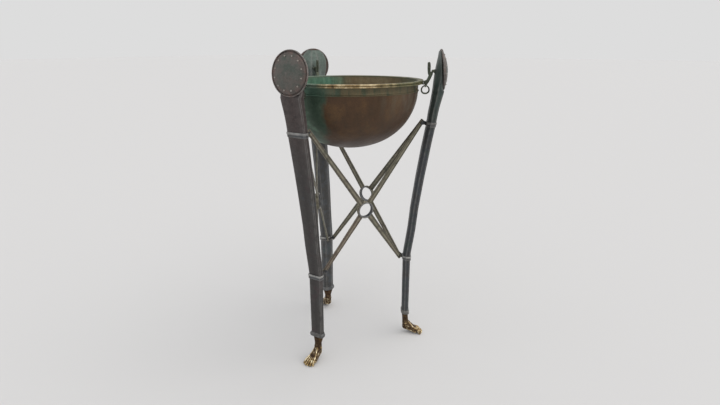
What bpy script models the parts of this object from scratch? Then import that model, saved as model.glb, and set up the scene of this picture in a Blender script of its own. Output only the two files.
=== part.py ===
"""A folding bronze tripod brazier: three legs, three crossed pairs of struts, and a basin on three hooks."""

import math

import bmesh
import bpy
from mathutils import Matrix, Vector

# Driving dimensions, in metres. Radii are from the tripod's own axis.
UPPER_PIVOT = (0.2165, 0.688)  # radius and height of the struts' upper pivots
LOWER_PIVOT = (0.1570, 0.2605)
PIVOT_SPREAD = 0.012  # sideways distance from a leg's middle to each of its two strut pivots
STRUT_THICKNESS = 0.005
LAYER_GAP = 0.00015  # from the plane of crossing to each strut's near face
EAR_THICKNESS = 0.0025
UPPER_EAR_GAP = 0.0007  # the upper lugs stand off a little, because a folding strut drifts sideways there
# How far each lug reaches from its pivot into its collar's wall, low and high, for the two sides.
UPPER_REACH = ((0.0172, 0.0183), (0.0149, 0.0160))
LOWER_REACH = ((0.0139, 0.0135), (0.0155, 0.0151))
PIN_RADIUS = 0.00165
PIN_HOLE = 0.0021
EYE_OUTER = 0.026
EYE_HOLE = 0.0232
ROUNDEL_CENTRE = (0.2715, 0.8415)  # radius and height
ROUNDEL_RADIUS = 0.0588
ROUNDEL_TILT = math.radians(5.0)
ROUNDEL_DOME = 0.0155
LIP_RADIUS = 0.2180
LIP_TOP = 0.8136
BASIN_CENTRE_Z = 0.8000
BASIN_DEPTH = 0.1850
BASIN_RADIUS = 0.2040
BASIN_WALL = 0.0030
BASIN_FLOOR_RADIUS = 0.040
HOOK_HINGE = (0.2446, 0.8374)
RING_HOLE = (0.2240, 0.7955)  # where each drop ring hangs in its hook
RING_RADIUS = 0.0112
RING_WIRE = 0.0020
FIT = 0.0003
FLOOR = -0.025  # the floor, in the heights used here: they are measured from the arches of the feet

# The roundels stand further out than the basin's lip, so the axis sits behind the middle of the box.
AXIS_Y = (ROUNDEL_CENTRE[0] + ROUNDEL_DOME + 0.0008 - LIP_RADIUS) / 2
AZIMUTH = {"a": 0.0, "b": math.radians(120.0), "c": math.radians(-120.0)}

# Height, inner radius, outer radius and width of the leg's section.
LEG_ROWS = [
    (0.0510, 0.1715, 0.1930, 0.0395),
    (0.1300, 0.1712, 0.1934, 0.0405),
    (0.2620, 0.1710, 0.1942, 0.0420),
    (0.3520, 0.1840, 0.2075, 0.0456),
    (0.4200, 0.1906, 0.2142, 0.0484),
    (0.5200, 0.2043, 0.2286, 0.0524),
    (0.6200, 0.2202, 0.2451, 0.0564),
    (0.6840, 0.2320, 0.2566, 0.0590),
    (0.7200, 0.2362, 0.2622, 0.0605),
    (0.7390, 0.2400, 0.2660, 0.0620),
    (0.7815, 0.2460, 0.2769, 0.0650),
]
# Above this the outer face follows the roundel's back, and the back slopes like a hipped roof.
# Height, inner radius, width, thickness at the edges and half width of the flat.
HEAD_ROWS = [
    (0.7822, 0.2461, 0.0650, 0.0162, 0.0204),
    (0.8000, 0.2474, 0.0720, 0.0110, 0.0180),
    (0.8150, 0.2485, 0.0840, 0.0070, 0.0160),
    (0.8380, 0.2512, 0.0930, 0.0045, 0.0140),
    (0.8600, 0.2548, 0.0900, 0.0040, 0.0120),
    (0.8750, 0.2578, 0.0790, 0.0036, 0.0100),
    (0.8850, 0.2600, 0.0640, 0.0030, 0.0080),
    (0.8935, 0.2618, 0.0420, 0.0014, 0.0060),
]


def clear_scene():
    for obj in list(bpy.data.objects):
        bpy.data.objects.remove(obj, do_unlink=True)


def srgb(text):
    """A colour such as 4a4745 as linear red, green, blue and alpha."""
    channels = [int(text[i : i + 2], 16) / 255 for i in (0, 2, 4)]
    return [c / 12.92 if c <= 0.04045 else ((c + 0.055) / 1.055) ** 2.4 for c in channels] + [1.0]


def bronze(name, colour, roughness=0.5):
    material = bpy.data.materials.new(name)
    material.use_nodes = True
    shader = material.node_tree.nodes["Principled BSDF"]
    shader.inputs["Base Color"].default_value = srgb(colour)
    shader.inputs["Metallic"].default_value = 0.7
    shader.inputs["Roughness"].default_value = roughness
    material.diffuse_color = srgb(colour)
    return material


def leg_frame(letter):
    """Local X points outward, Y sideways and Z up, with the origin on the axis at the arches of the feet."""
    angle = AZIMUTH[letter] - math.pi / 2
    return Matrix.Translation((0.0, AXIS_Y, -FLOOR)) @ Matrix.Rotation(angle, 4, "Z")


def finish_mesh(bm, name, smooth_degrees=35.0):
    bmesh.ops.remove_doubles(bm, verts=bm.verts, dist=1e-6)
    bmesh.ops.recalc_face_normals(bm, faces=bm.faces)
    mesh = bpy.data.meshes.new(name)
    bm.to_mesh(mesh)
    bm.free()
    mesh.shade_smooth()
    mesh.set_sharp_from_angle(angle=math.radians(smooth_degrees))
    return mesh


def stack(name, rings, closed=False, smooth_degrees=35.0):
    """A skin over rings of points. The ends are capped, or joined to each other when closed."""
    bm = bmesh.new()
    rows = [[bm.verts.new(point) for point in ring] for ring in rings]
    count = len(rings[0])
    pairs = list(zip(rows, rows[1:]))
    if closed:
        pairs.append((rows[-1], rows[0]))
    for low, high in pairs:
        for i in range(count):
            j = (i + 1) % count
            bm.faces.new((low[i], low[j], high[j], high[i]))
    if not closed:
        bm.faces.new(rows[0][::-1])
        bm.faces.new(rows[-1])
    return finish_mesh(bm, name, smooth_degrees)


def lathe(name, profile, segments, closed=False, smooth_degrees=35.0):
    """Turns (radius, height) points round Z. Radius zero makes a pole, and closed joins the ends."""
    bm = bmesh.new()
    columns = []
    for radius, height in profile:
        if radius < 1e-9:
            columns.append([bm.verts.new((0.0, 0.0, height))] * segments)
            continue
        turn = [2 * math.pi * i / segments for i in range(segments)]
        columns.append([bm.verts.new((radius * math.cos(a), radius * math.sin(a), height)) for a in turn])
    pairs = list(zip(columns, columns[1:]))
    if closed:
        pairs.append((columns[-1], columns[0]))
    for low, high in pairs:
        for i in range(segments):
            j = (i + 1) % segments
            corners = list(dict.fromkeys((low[i], low[j], high[j], high[i])))
            if len(corners) > 2:
                bm.faces.new(corners)
    return finish_mesh(bm, name, smooth_degrees)


def plate(name, outline, holes, thickness):
    """A flat plate in XY, centred on Z, with round holes given as (x, y, radius, segments)."""
    curve = bpy.data.curves.new(name, "CURVE")
    curve.dimensions = "2D"
    curve.fill_mode = "BOTH"
    curve.extrude = thickness / 2
    loops = [outline]
    for x, y, radius, segments in holes:
        turn = [2 * math.pi * i / segments for i in range(segments)]
        loops.append([(x + radius * math.cos(a), y + radius * math.sin(a)) for a in turn])
    for loop in loops:
        spline = curve.splines.new("POLY")
        spline.points.add(len(loop) - 1)
        for point, (x, y) in zip(spline.points, loop):
            point.co = (x, y, 0.0, 1.0)
        spline.use_cyclic_u = True
    source = bpy.data.objects.new(name, curve)
    bpy.context.scene.collection.objects.link(source)
    flat = bpy.data.meshes.new_from_object(source.evaluated_get(bpy.context.evaluated_depsgraph_get()))
    bpy.data.objects.remove(source)
    bpy.data.curves.remove(curve)
    bm = bmesh.new()
    bm.from_mesh(flat)
    bpy.data.meshes.remove(flat)
    return finish_mesh(bm, name, 30.0)


def boolean(base, others, operation="UNION"):
    """The base mesh joined with, or cut by, each (mesh, matrix) in turn."""
    host = bpy.data.objects.new("boolean_host", base)
    bpy.context.scene.collection.objects.link(host)
    helpers = []
    for mesh, matrix in others:
        helper = bpy.data.objects.new("boolean_helper", mesh)
        helper.matrix_world = matrix
        helper.hide_render = True
        helper.display_type = "WIRE"
        bpy.context.scene.collection.objects.link(helper)
        modifier = host.modifiers.new("boolean", "BOOLEAN")
        modifier.operation = operation
        modifier.solver = "EXACT"
        modifier.object = helper
        helpers.append(helper)
    bpy.context.view_layer.update()
    joined = bpy.data.meshes.new_from_object(host.evaluated_get(bpy.context.evaluated_depsgraph_get()))
    for obj in [host] + helpers:
        bpy.data.objects.remove(obj)
    bm = bmesh.new()
    bm.from_mesh(joined)
    bpy.data.meshes.remove(joined)
    return finish_mesh(bm, base.name, 35.0)


def add(name, mesh, matrix, colour, parent=None, roughness=0.5):
    """Every object has its own mesh and its own material."""
    obj = bpy.data.objects.new(name, mesh.copy())
    obj.data.materials.clear()
    obj.data.materials.append(bronze(name + "_bronze", colour, roughness))
    bpy.context.scene.collection.objects.link(obj)
    if parent is not None:
        obj.parent = parent
        obj.matrix_parent_inverse = parent.matrix_world.inverted()
    obj.matrix_world = matrix
    return obj


def pivot(name, location):
    """An empty on a joint's axis, which carries every piece of the body that turns there."""
    empty = bpy.data.objects.new(name, None)
    empty.empty_display_size = 0.03
    empty.location = location
    bpy.context.scene.collection.objects.link(empty)
    bpy.context.view_layer.update()
    return empty


def leg_section(inner, outer, width, edge=None, flat=None):
    """Eight corners in XY: a flat front with small chamfers, and a back with wide ones."""
    depth = outer - inner
    side = width / 2
    front = min(0.0025, depth * 0.2)
    edge = 0.60 * depth if edge is None else edge
    flat = side - 0.45 * depth if flat is None else flat
    half = [(outer, side - front), (outer - front, side), (outer - edge, side), (inner, flat)]
    return half + [(x, -y) for x, y in reversed(half)]


def leg_at(height):
    """Inner radius, outer radius and width of the leg at this height, below the roundel."""
    for low, high in zip(LEG_ROWS, LEG_ROWS[1:]):
        if low[0] <= height <= high[0]:
            share = (height - low[0]) / (high[0] - low[0])
            return [a + share * (b - a) for a, b in zip(low[1:], high[1:])]
    return LEG_ROWS[0][1:]


def roundel_back(height):
    """Radius of the plane just behind the roundel."""
    reach = ROUNDEL_CENTRE[0] - (0.003 + FIT) / math.cos(ROUNDEL_TILT)
    return reach - (height - ROUNDEL_CENTRE[1]) * math.tan(ROUNDEL_TILT)


def leg_mesh():
    rings = []
    for height, inner, outer, width in LEG_ROWS:
        rings.append([(x, y, height) for x, y in leg_section(inner, outer, width)])
    for height, inner, *shape in HEAD_ROWS:
        rings.append([(x, y, height) for x, y in leg_section(inner, roundel_back(height), *shape)])
    return stack("leg", rings, smooth_degrees=12.0)


def sleeve(name, heights, outer_growths, inner_growth):
    """A band round the leg. Each outer growth is (radial, sideways)."""
    rings = []
    for height, (radial, sideways) in zip(heights, outer_growths):
        inner, outer, width = leg_at(height)
        section = leg_section(inner - radial, outer + radial, width + 2 * sideways)
        rings.append([(x, y, height) for x, y in section])
    for height in reversed(heights):
        inner, outer, width = leg_at(height)
        section = leg_section(inner - inner_growth, outer + inner_growth, width + 2 * inner_growth)
        rings.append([(x, y, height) for x, y in section])
    return stack(name, rings, closed=True, smooth_degrees=25.0)


def strut_ends(pair):
    """The pair's pivots: first leg's upper, second's upper, first's lower, second's lower."""
    found = []
    for radius, height in (UPPER_PIVOT, LOWER_PIVOT):
        for letter, side in ((pair[0], 1), (pair[1], -1)):
            found.append(leg_frame(letter) @ Vector((radius, side * PIVOT_SPREAD, height)))
    return found


def crossing(pair):
    """The point where the two struts cross, and the outward normal of the plane that holds them."""
    upper_1, upper_2, lower_1, lower_2 = strut_ends(pair)
    normal = (lower_2 - upper_1).cross(lower_1 - upper_2).normalized()
    if normal.dot(upper_1 + upper_2 - 2 * Vector((0, AXIS_Y, upper_1.z))) < 0:
        normal = -normal
    span = (upper_2 - upper_1).length + (lower_2 - lower_1).length
    share = (upper_2 - upper_1).length / span
    return upper_1 + (lower_2 - upper_1) * share, normal


def frame_at(origin, along, normal):
    """A matrix with X along, Z on the normal and its origin at the point."""
    across = normal.cross(along)
    rotation = Matrix((along, across, normal)).transposed().to_4x4()
    return Matrix.Translation(origin) @ rotation


def strut_mesh(name, origin_at, upper_arm, length, layer):
    """A bar along X with a wide ring at the crossing. Layer is 1 for the outer strut, -1 for the inner."""
    end_half, ring_half, past_end = 0.0062, 0.0088, 0.0075
    join = math.asin(ring_half / EYE_OUTER)
    half = [(-past_end, end_half)]
    for step in range(9):
        angle = math.pi - join - step * (math.pi - 2 * join) / 8
        half.append((upper_arm + EYE_OUTER * math.cos(angle), EYE_OUTER * math.sin(angle)))
    half.append((length + past_end, end_half))
    outline = half + [(x, -y) for x, y in reversed(half)]
    outline = [(x - origin_at, y) for x, y in outline]
    holes = [
        (-origin_at, 0.0, PIN_HOLE, 12),
        (upper_arm - origin_at, 0.0, EYE_HOLE, 28),
        (length - origin_at, 0.0, PIN_HOLE, 12),
    ]
    mesh = plate(name, outline, holes, STRUT_THICKNESS)
    mesh.transform(Matrix.Translation((0, 0, layer * (LAYER_GAP + STRUT_THICKNESS / 2))))
    return mesh


def pin_mesh(name, layer, through_ear):
    """A headed pin along Z, through the strut of this layer to a lug, or only to the strut's face."""
    near, far = LAYER_GAP, LAYER_GAP + STRUT_THICKNESS
    low = -(UPPER_EAR_GAP + EAR_THICKNESS + 0.0002) if through_ear else near
    profile = [(0.0, far + 0.0014), (0.0022, far + 0.0012), (0.0030, far + 0.0002)]
    profile += [(PIN_RADIUS, far + 0.0002)]
    if through_ear:
        profile += [(PIN_RADIUS, low), (0.0030, low), (0.0022, low - 0.0010), (0.0, low - 0.0012)]
    else:
        profile += [(PIN_RADIUS, low), (0.0, low)]
    return lathe(name, [(r, layer * z) for r, z in profile], 10)


def ear_mesh(pivot_height, base_low, base_high, reach):
    """A lug in XY, with Y up: X runs from the pivot to the collar, reached at the two distances."""
    nose = 0.0052
    arc = [math.radians(90 + 180 * step / 6) for step in range(7)]
    outline = [(nose * math.cos(a), nose * math.sin(a)) for a in arc]
    outline += [(reach[0], base_low - pivot_height), (reach[1], base_high - pivot_height)]
    return plate("ear", outline, [(0.0, 0.0, PIN_HOLE, 12)], EAR_THICKNESS)


def collar_with_ears(band, pivot_point, base, reach, outer_side, gap):
    """Joins two lugs to a band, each in the plane of one crossed pair and beside the end of its strut."""
    radius, height = pivot_point
    ears = []
    for side, far in zip((1, -1), reach):
        inverse = leg_frame("a").inverted()
        pair = ("a", "b") if side > 0 else ("c", "a")
        normal = (inverse.to_3x3() @ crossing(pair)[1]).normalized()
        along = normal.cross(Vector((0, 0, 1))).normalized()
        along = along if along.x > 0 else -along
        up = normal.cross(along)
        up = up if up.z > 0 else -up
        layer = side * outer_side
        origin = Vector((radius, side * PIVOT_SPREAD, height))
        origin += normal * (layer * (gap + EAR_THICKNESS / 2))
        rotation = Matrix((along, up, along.cross(up))).transposed().to_4x4()
        ears.append((ear_mesh(height, base[0], base[1], far), Matrix.Translation(origin) @ rotation))
    return boolean(band, ears)


def roundel_mesh():
    """Turned about Z with the dome towards +Z."""
    rim = ROUNDEL_RADIUS
    profile = [
        (0.0, -0.0030),
        (rim - 0.0012, -0.0030),
        (rim, -0.0018),
        (rim, 0.0012),
        (rim - 0.0010, 0.0022),
        (rim - 0.0026, 0.0022),
        (rim - 0.0036, 0.0006),
    ]
    for step in range(1, 6):
        share = step / 6
        radius = (rim - 0.0036) * (1 - share)
        profile.append((radius, 0.0006 + (ROUNDEL_DOME - 0.0012) * (1 - (1 - share) ** 2) ** 0.85))
    profile += [(0.0026, ROUNDEL_DOME - 0.0006), (0.0018, ROUNDEL_DOME + 0.0006)]
    profile += [(0.0, ROUNDEL_DOME + 0.0008)]
    return lathe("roundel", profile, 32)


def basin_mesh():
    """Turned about Z at true height: body, raised line, sunk band and heavy lip, then the inside."""

    def bowl(radius, depth, low, high, steps):
        points = []
        for step in range(1, steps + 1):
            radial = low + (high - low) * step / steps
            drop = (1 - (radial / radius) ** 2.15) ** (1 / 2.15)
            points.append((radial, BASIN_CENTRE_Z - depth * drop))
        return points

    floor = BASIN_CENTRE_Z - BASIN_DEPTH
    outside = [(0.0, floor), (BASIN_FLOOR_RADIUS * 0.6, floor)]
    outside += bowl(BASIN_RADIUS, BASIN_DEPTH, BASIN_FLOOR_RADIUS, 0.1995, 9)
    outside += [
        (0.2032, 0.7815),
        (0.2052, 0.7823),
        (0.2052, 0.7847),
        (0.2028, 0.7855),
        (0.2028, 0.8020),
        (0.2040, 0.8030),
        (0.2160, 0.8032),
        (LIP_RADIUS, 0.8042),
        (LIP_RADIUS, 0.8072),
        (LIP_RADIUS - 0.0009, 0.8082),
        (LIP_RADIUS, 0.8092),
        (LIP_RADIUS, 0.8126),
        (LIP_RADIUS - 0.0010, LIP_TOP),
        (0.2030, LIP_TOP),
        (0.2006, 0.8120),
        (0.1996, 0.8000),
    ]
    inner_radius = BASIN_RADIUS - BASIN_WALL
    inner_depth = BASIN_DEPTH - BASIN_WALL
    inside = bowl(inner_radius, inner_depth, BASIN_FLOOR_RADIUS, 0.1965, 9)
    inside_floor = floor + BASIN_WALL
    inside = [(r, max(z, inside_floor)) for r, z in reversed(inside)]
    inside += [(BASIN_FLOOR_RADIUS, inside_floor), (0.0, inside_floor)]
    return lathe("basin", outside + inside, 48, smooth_degrees=30.0)


def ring_mesh():
    """A plain wire ring in XZ whose top passes through the origin."""
    rings = []
    for step in range(20):
        around = 2 * math.pi * step / 20
        centre = Vector((RING_RADIUS * math.sin(around), 0.0, RING_RADIUS * (math.cos(around) - 1)))
        outward = Vector((math.sin(around), 0.0, math.cos(around)))
        circle = []
        for k in range(6):
            turn = 2 * math.pi * k / 6
            offset = outward * math.cos(turn) + Vector((0, 1, 0)) * math.sin(turn)
            circle.append(centre + offset * RING_WIRE)
        rings.append(circle)
    return stack("drop_ring", rings, closed=True, smooth_degrees=60.0)


def hook_mesh():
    """The hook's side outline about its hinge, made thick sideways. The drop ring's hole is cut last."""
    hx, hz = HOOK_HINGE
    # Radius and height: round the eye, down the outside, up the inside past the toe, and round the finial.
    eye = [(0.2403, 0.8370), (0.2412, 0.8396), (0.2440, 0.8414)]
    eye += [(0.2470, 0.8408), (0.2488, 0.8376), (0.2470, 0.8340)]
    outside = [(0.2444, 0.8328), (0.2362, 0.8122), (0.2276, 0.7995), (0.2266, 0.7925), (0.2240, 0.7908)]
    inside = [(0.2216, 0.7925), (0.2214, 0.7990), (0.2108, 0.7994), (0.2106, 0.8018), (0.2222, 0.8020)]
    finial = [(0.2268, 0.8116), (0.2330, 0.8265), (0.2292, 0.8420), (0.2288, 0.8530), (0.2306, 0.8626)]
    finial += [(0.2330, 0.8612), (0.2362, 0.8530), (0.2368, 0.8440)]
    outline = [(x - hx, z - hz) for x, z in eye + outside + inside + finial]
    mesh = plate("hook", outline, [(0.0, 0.0, 0.0019, 12)], 0.0105)
    mesh.transform(Matrix.Rotation(math.pi / 2, 4, "X"))
    drill = lathe("drill", [(0.0, -0.01), (0.00245, -0.01), (0.00245, 0.01), (0.0, 0.01)], 12)
    hole = Vector((RING_HOLE[0] - hx, 0.0, RING_HOLE[1] - hz))
    turn = Matrix.Translation(hole) @ Matrix.Rotation(math.pi / 2, 4, "Y")
    return boolean(mesh, [(drill, turn)], "DIFFERENCE")


def staple_mesh():
    """Two cheeks and the cross pin that the hook hangs on, as one piece against the leg."""
    hx = HOOK_HINGE[0]
    cheek = [(-0.0034, -0.0036), (0.2498 - hx, -0.0075), (0.2511 - hx, 0.0050), (-0.0034, 0.0036)]
    parts = []
    for side in (1, -1):
        mesh = plate("cheek", cheek, [], 0.0026)
        mesh.transform(Matrix.Translation((0, side * 0.0072, 0)) @ Matrix.Rotation(math.pi / 2, 4, "X"))
        parts.append((mesh, Matrix.Identity(4)))
    pin = lathe("staple", [(0.0, -0.0098), (0.0015, -0.0098), (0.0015, 0.0098), (0.0, 0.0098)], 12)
    pin.transform(Matrix.Rotation(math.pi / 2, 4, "X"))
    return boolean(pin, parts)


def foot_mesh():
    """A bare foot: level slices from sole to ankle, with five toes in the front of the lower ones."""
    # Height, heel radius, front radius, half width, and how far the clefts between the toes reach back.
    rows = [
        (FLOOR, 0.2070, 0.2385, 0.0155, 0.0040),
        (-0.0225, 0.2020, 0.2425, 0.0175, 0.0055),
        (-0.0180, 0.1940, 0.2430, 0.0182, 0.0058),
        (-0.0140, 0.1850, 0.2405, 0.0180, 0.0052),
        (-0.0100, 0.1785, 0.2330, 0.0172, 0.0040),
        (-0.0050, 0.1755, 0.2240, 0.0158, 0.0026),
        (0.0000, 0.1748, 0.2160, 0.0145, 0.0014),
        (0.0080, 0.1745, 0.2050, 0.0132, 0.0005),
        (0.0180, 0.1745, 0.1985, 0.0121, 0.0000),
        (0.0280, 0.1742, 0.1950, 0.0118, 0.0000),
        (0.0400, 0.1732, 0.1945, 0.0135, 0.0000),
        (0.0507, 0.1722, 0.1928, 0.0165, 0.0000),
    ]
    rings = []
    for height, heel, front, half, cleft in rows:
        ring = []
        middle = heel + half
        for step in range(7):
            angle = math.pi / 2 + math.pi * step / 7
            ring.append((middle + half * math.cos(angle), half * math.sin(angle) * 0.92, height))
        for step in range(21):
            across = -1 + 2 * step / 20
            lobe = abs(math.sin(2.5 * math.pi * (across + 1)))
            arch = (1 - 0.30 * across * across - 0.08 * across) * (front - middle)
            reach = middle + arch - cleft * 1.6 * (1 - lobe)
            ring.append((reach, across * half * 1.03, height))
        rings.append(ring)
    return stack("foot", rings, smooth_degrees=40.0)


def eyelet_mesh():
    """A flanged tube that holds both rings of a crossed pair."""
    far = LAYER_GAP + STRUT_THICKNESS + 0.0002
    side = [(0.0211, far + 0.0010), (0.0242, far + 0.0010), (0.0248, far), (0.0228, far)]
    profile = side + [(r, -z) for r, z in reversed(side)]
    return lathe("eyelet", profile, 28, closed=True)


def build_legs():
    """Each leg with its roundel, foot, bands, staple, hook and drop ring."""
    leg, roundel, foot = leg_mesh(), roundel_mesh(), foot_mesh()
    walls = [(0.0016, 0.0034), (0.0026, 0.0046), (0.0016, 0.0034)]
    ankle = sleeve("ankle_band", [0.0510, 0.0585, 0.0660], walls, FIT)
    upper = sleeve("upper_collar", [0.6770, 0.6840, 0.6910], [(0.0022, 0.0016)] * 3, FIT)
    upper = collar_with_ears(upper, UPPER_PIVOT, (0.6795, 0.6900), UPPER_REACH, -1, UPPER_EAR_GAP)
    lower = sleeve("sliding_collar", [0.2460, 0.2530, 0.2600], [(0.0028, 0.0023)] * 3, 0.0006)
    lower = collar_with_ears(lower, LOWER_PIVOT, (0.2480, 0.2590), LOWER_REACH, 1, LAYER_GAP)
    collar_height = 0.2530
    lower.transform(Matrix.Translation((-0.183, 0, -collar_height)))
    staple, hook, ring = staple_mesh(), hook_mesh(), ring_mesh()
    tip = Matrix.Translation((ROUNDEL_CENTRE[0], 0, ROUNDEL_CENTRE[1])) @ Matrix.Rotation(
        math.pi / 2 - ROUNDEL_TILT, 4, "Y"
    )
    hinge = Matrix.Translation((HOOK_HINGE[0], 0, HOOK_HINGE[1]))
    hung = Matrix.Translation((RING_HOLE[0], 0, RING_HOLE[1]))
    seat = {"a": None}
    for letter, side in (("b", -1), ("c", 1)):
        upper_pivot = Vector((UPPER_PIVOT[0], side * PIVOT_SPREAD, UPPER_PIVOT[1]))
        seat[letter] = pivot(f"leg_{letter}_pivot", leg_frame(letter) @ upper_pivot)
    for letter in AZIMUTH:
        frame, body = leg_frame(letter), seat[letter]
        add("leg_" + letter, leg, frame, "4e4b4a", body)
        add("roundel_" + letter, roundel, frame @ tip, "5a5350", body)
        add("foot_" + letter, foot, frame, "9a8250", body, 0.4)
        add("ankle_band_" + letter, ankle, frame, "5a4c3c", body)
        add("upper_collar_" + letter, upper, frame, "6a6866", body)
        add("staple_" + letter, staple, frame @ hinge, "4c4e44", body)
        at_rest = frame @ Matrix.Translation((0.183, 0, collar_height))
        add("sliding_collar_" + letter, lower, at_rest, "625f5c", body)
        add("hook_" + letter, hook, frame @ hinge, "4a4d40", body)
        add("drop_ring_" + letter, ring, frame @ hung, "45473c", body)
    return seat


def build_struts(seat):
    """Three crossed pairs, with a hollow eyelet at each crossing and a pin at each end."""
    # For each pair, which strut hangs from the earlier body: the other one turns on it at the crossing.
    first_hung = {("a", "b"): 1, ("b", "c"): 1, ("c", "a"): 2}
    for pair, hung in first_hung.items():
        name = "".join(pair)
        upper_1, upper_2, lower_1, lower_2 = strut_ends(pair)
        centre, normal = crossing(pair)
        length = (lower_2 - upper_1).length
        upper_arm = (centre - upper_1).length
        for number, upper, lower, layer in ((1, upper_1, lower_2, 1), (2, upper_2, lower_1, -1)):
            along = (lower - upper).normalized()
            origin_at = 0.0 if number == hung else upper_arm
            frame = frame_at(upper + along * origin_at, along, normal)
            mesh = strut_mesh("strut", origin_at, upper_arm, length, layer)
            colour = "5e4a42" if (name, number) == ("ab", 2) else "4b4742"
            add(f"strut_{name}_{number}", mesh, frame, colour)
            loose_top = (name, number) == ("bc", 2)
            holder = None if loose_top else seat[pair[number - 1]]
            pin = pin_mesh("pin", layer, not loose_top)
            add(f"upper_pin_{name}_{number}", pin, frame_at(upper, along, normal), "6e6a60", holder)
            stub = pin_mesh("pin", layer, False)
            add(f"lower_pin_{name}_{number}", stub, frame_at(lower, along, normal), "6e6a60")
        middle = frame_at(centre, (lower_2 - upper_1).normalized(), normal)
        add(f"eyelet_{name}", eyelet_mesh(), middle, "77715f")


def build_basin():
    """The basin's origin is on the middle of its rim."""
    mesh = basin_mesh()
    mesh.transform(Matrix.Translation((0, 0, -LIP_TOP)))
    add("basin", mesh, Matrix.Translation((0.0, AXIS_Y, LIP_TOP - FLOOR)), "5a4632")


clear_scene()
build_struts(build_legs())
build_basin()
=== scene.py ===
from math import copysign, cos, pi, radians, sin, tan

import bmesh
import bpy
from bpy.props import FloatProperty, FloatVectorProperty, IntProperty, PointerProperty
from mathutils import Matrix, Vector, noise


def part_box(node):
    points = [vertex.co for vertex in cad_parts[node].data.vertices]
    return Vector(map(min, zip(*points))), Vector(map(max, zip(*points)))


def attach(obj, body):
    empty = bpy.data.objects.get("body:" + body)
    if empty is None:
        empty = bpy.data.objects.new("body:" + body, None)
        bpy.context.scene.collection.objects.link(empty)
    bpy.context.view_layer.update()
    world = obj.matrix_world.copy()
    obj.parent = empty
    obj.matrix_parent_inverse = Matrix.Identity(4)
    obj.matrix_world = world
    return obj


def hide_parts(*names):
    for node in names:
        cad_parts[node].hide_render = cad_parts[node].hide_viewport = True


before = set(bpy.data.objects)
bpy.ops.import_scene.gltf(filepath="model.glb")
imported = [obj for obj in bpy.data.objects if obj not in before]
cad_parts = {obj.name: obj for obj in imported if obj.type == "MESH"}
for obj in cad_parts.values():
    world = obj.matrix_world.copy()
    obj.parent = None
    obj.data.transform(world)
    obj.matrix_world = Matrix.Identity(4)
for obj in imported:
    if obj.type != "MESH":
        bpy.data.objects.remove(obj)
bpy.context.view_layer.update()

bl_info = {
    "name": "Folding tripod brazier",
    "version": (1, 0, 0),
    "blender": (4, 5, 0),
    "location": "View3D > Sidebar > Brazier",
    "description": "Builds the patinated bronze pieces of a folding tripod brazier around its frame",
    "category": "Add Mesh",
}

BASIN_LOW, BASIN_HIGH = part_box("basin")
AXIS_Y = (BASIN_LOW.y + BASIN_HIGH.y) / 2
TURN = {"a": 0.0, "b": radians(120.0), "c": radians(-120.0)}
PAIRS = (("a", "b"), ("b", "c"), ("c", "a"))

# Places shared with the frame's own pieces, in metres. Radii are from the tripod's axis, and heights from
# the arches of the feet, which stand this far above the floor.
ARCH = 0.025
UPPER_PIVOT = (0.2165, 0.688)
LOWER_PIVOT = (0.1570, 0.2605)
PIVOT_SPREAD = 0.012
LAYER_GAP = 0.00015
STRUT_THICKNESS = 0.005
EAR_THICKNESS = 0.0025
UPPER_EAR_GAP = 0.0007
LUG_RADIUS = 0.0052
LUG_HOLE = 0.0021
PIN_RADIUS = 0.00165
PIN_HEAD = 0.0030
# How far each lug reaches from its pivot into its collar's wall, low and high, for the two sides.
UPPER_REACH = ((0.0172, 0.0183), (0.0149, 0.0160))
LOWER_REACH = ((0.0139, 0.0135), (0.0155, 0.0151))
ROUNDEL_CENTRE = (0.2715, 0.8415)
ROUNDEL_RADIUS = 0.0588
ROUNDEL_TILT = radians(5.0)
ROUNDEL_DOME = 0.0155
HOOK_HINGE = (0.2446, 0.8374)
RING_HOLE = (0.2240, 0.7955)
LIP_RADIUS = (BASIN_HIGH.y - BASIN_LOW.y) / 2
LIP_TOP = BASIN_HIGH.z - ARCH
BASIN_CENTRE_Z = 0.8000
BASIN_WALL = 0.003
BASIN_DEPTH = BASIN_CENTRE_Z - (BASIN_LOW.z - ARCH)

# Height, inner radius, outer radius and width of a leg.
LEG_ROWS = (
    (0.0510, 0.1715, 0.1930, 0.0395),
    (0.1300, 0.1712, 0.1934, 0.0405),
    (0.2620, 0.1710, 0.1942, 0.0420),
    (0.3520, 0.1840, 0.2075, 0.0456),
    (0.4200, 0.1906, 0.2142, 0.0484),
    (0.5200, 0.2043, 0.2286, 0.0524),
    (0.6200, 0.2202, 0.2451, 0.0564),
    (0.6840, 0.2320, 0.2566, 0.0590),
    (0.7200, 0.2362, 0.2622, 0.0605),
    (0.7390, 0.2400, 0.2660, 0.0620),
    (0.7815, 0.2460, 0.2769, 0.0650),
)
# Height, inner radius, width, thickness at the edges and half width of the flat, behind a roundel.
HEAD_ROWS = (
    (0.7822, 0.2461, 0.0650, 0.0162, 0.0204),
    (0.8000, 0.2474, 0.0720, 0.0110, 0.0180),
    (0.8150, 0.2485, 0.0840, 0.0070, 0.0160),
    (0.8380, 0.2512, 0.0930, 0.0045, 0.0140),
    (0.8600, 0.2548, 0.0900, 0.0040, 0.0120),
    (0.8750, 0.2578, 0.0790, 0.0036, 0.0100),
    (0.8850, 0.2600, 0.0640, 0.0030, 0.0080),
    (0.8935, 0.2618, 0.0420, 0.0014, 0.0060),
)


# ---------------------------------------------------------------- settings


def linear(text):
    """A hex colour as linear red, green, blue and alpha."""
    channels = [int(text[i : i + 2], 16) / 255 for i in (0, 2, 4)]
    return [c / 12.92 if c <= 0.04045 else ((c + 0.055) / 1.055) ** 2.4 for c in channels] + [1.0]


def colour_property(name, description, text):
    tint = linear(text)
    return FloatVectorProperty(name=name, description=description, subtype="COLOR", size=4, default=tint)


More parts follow.
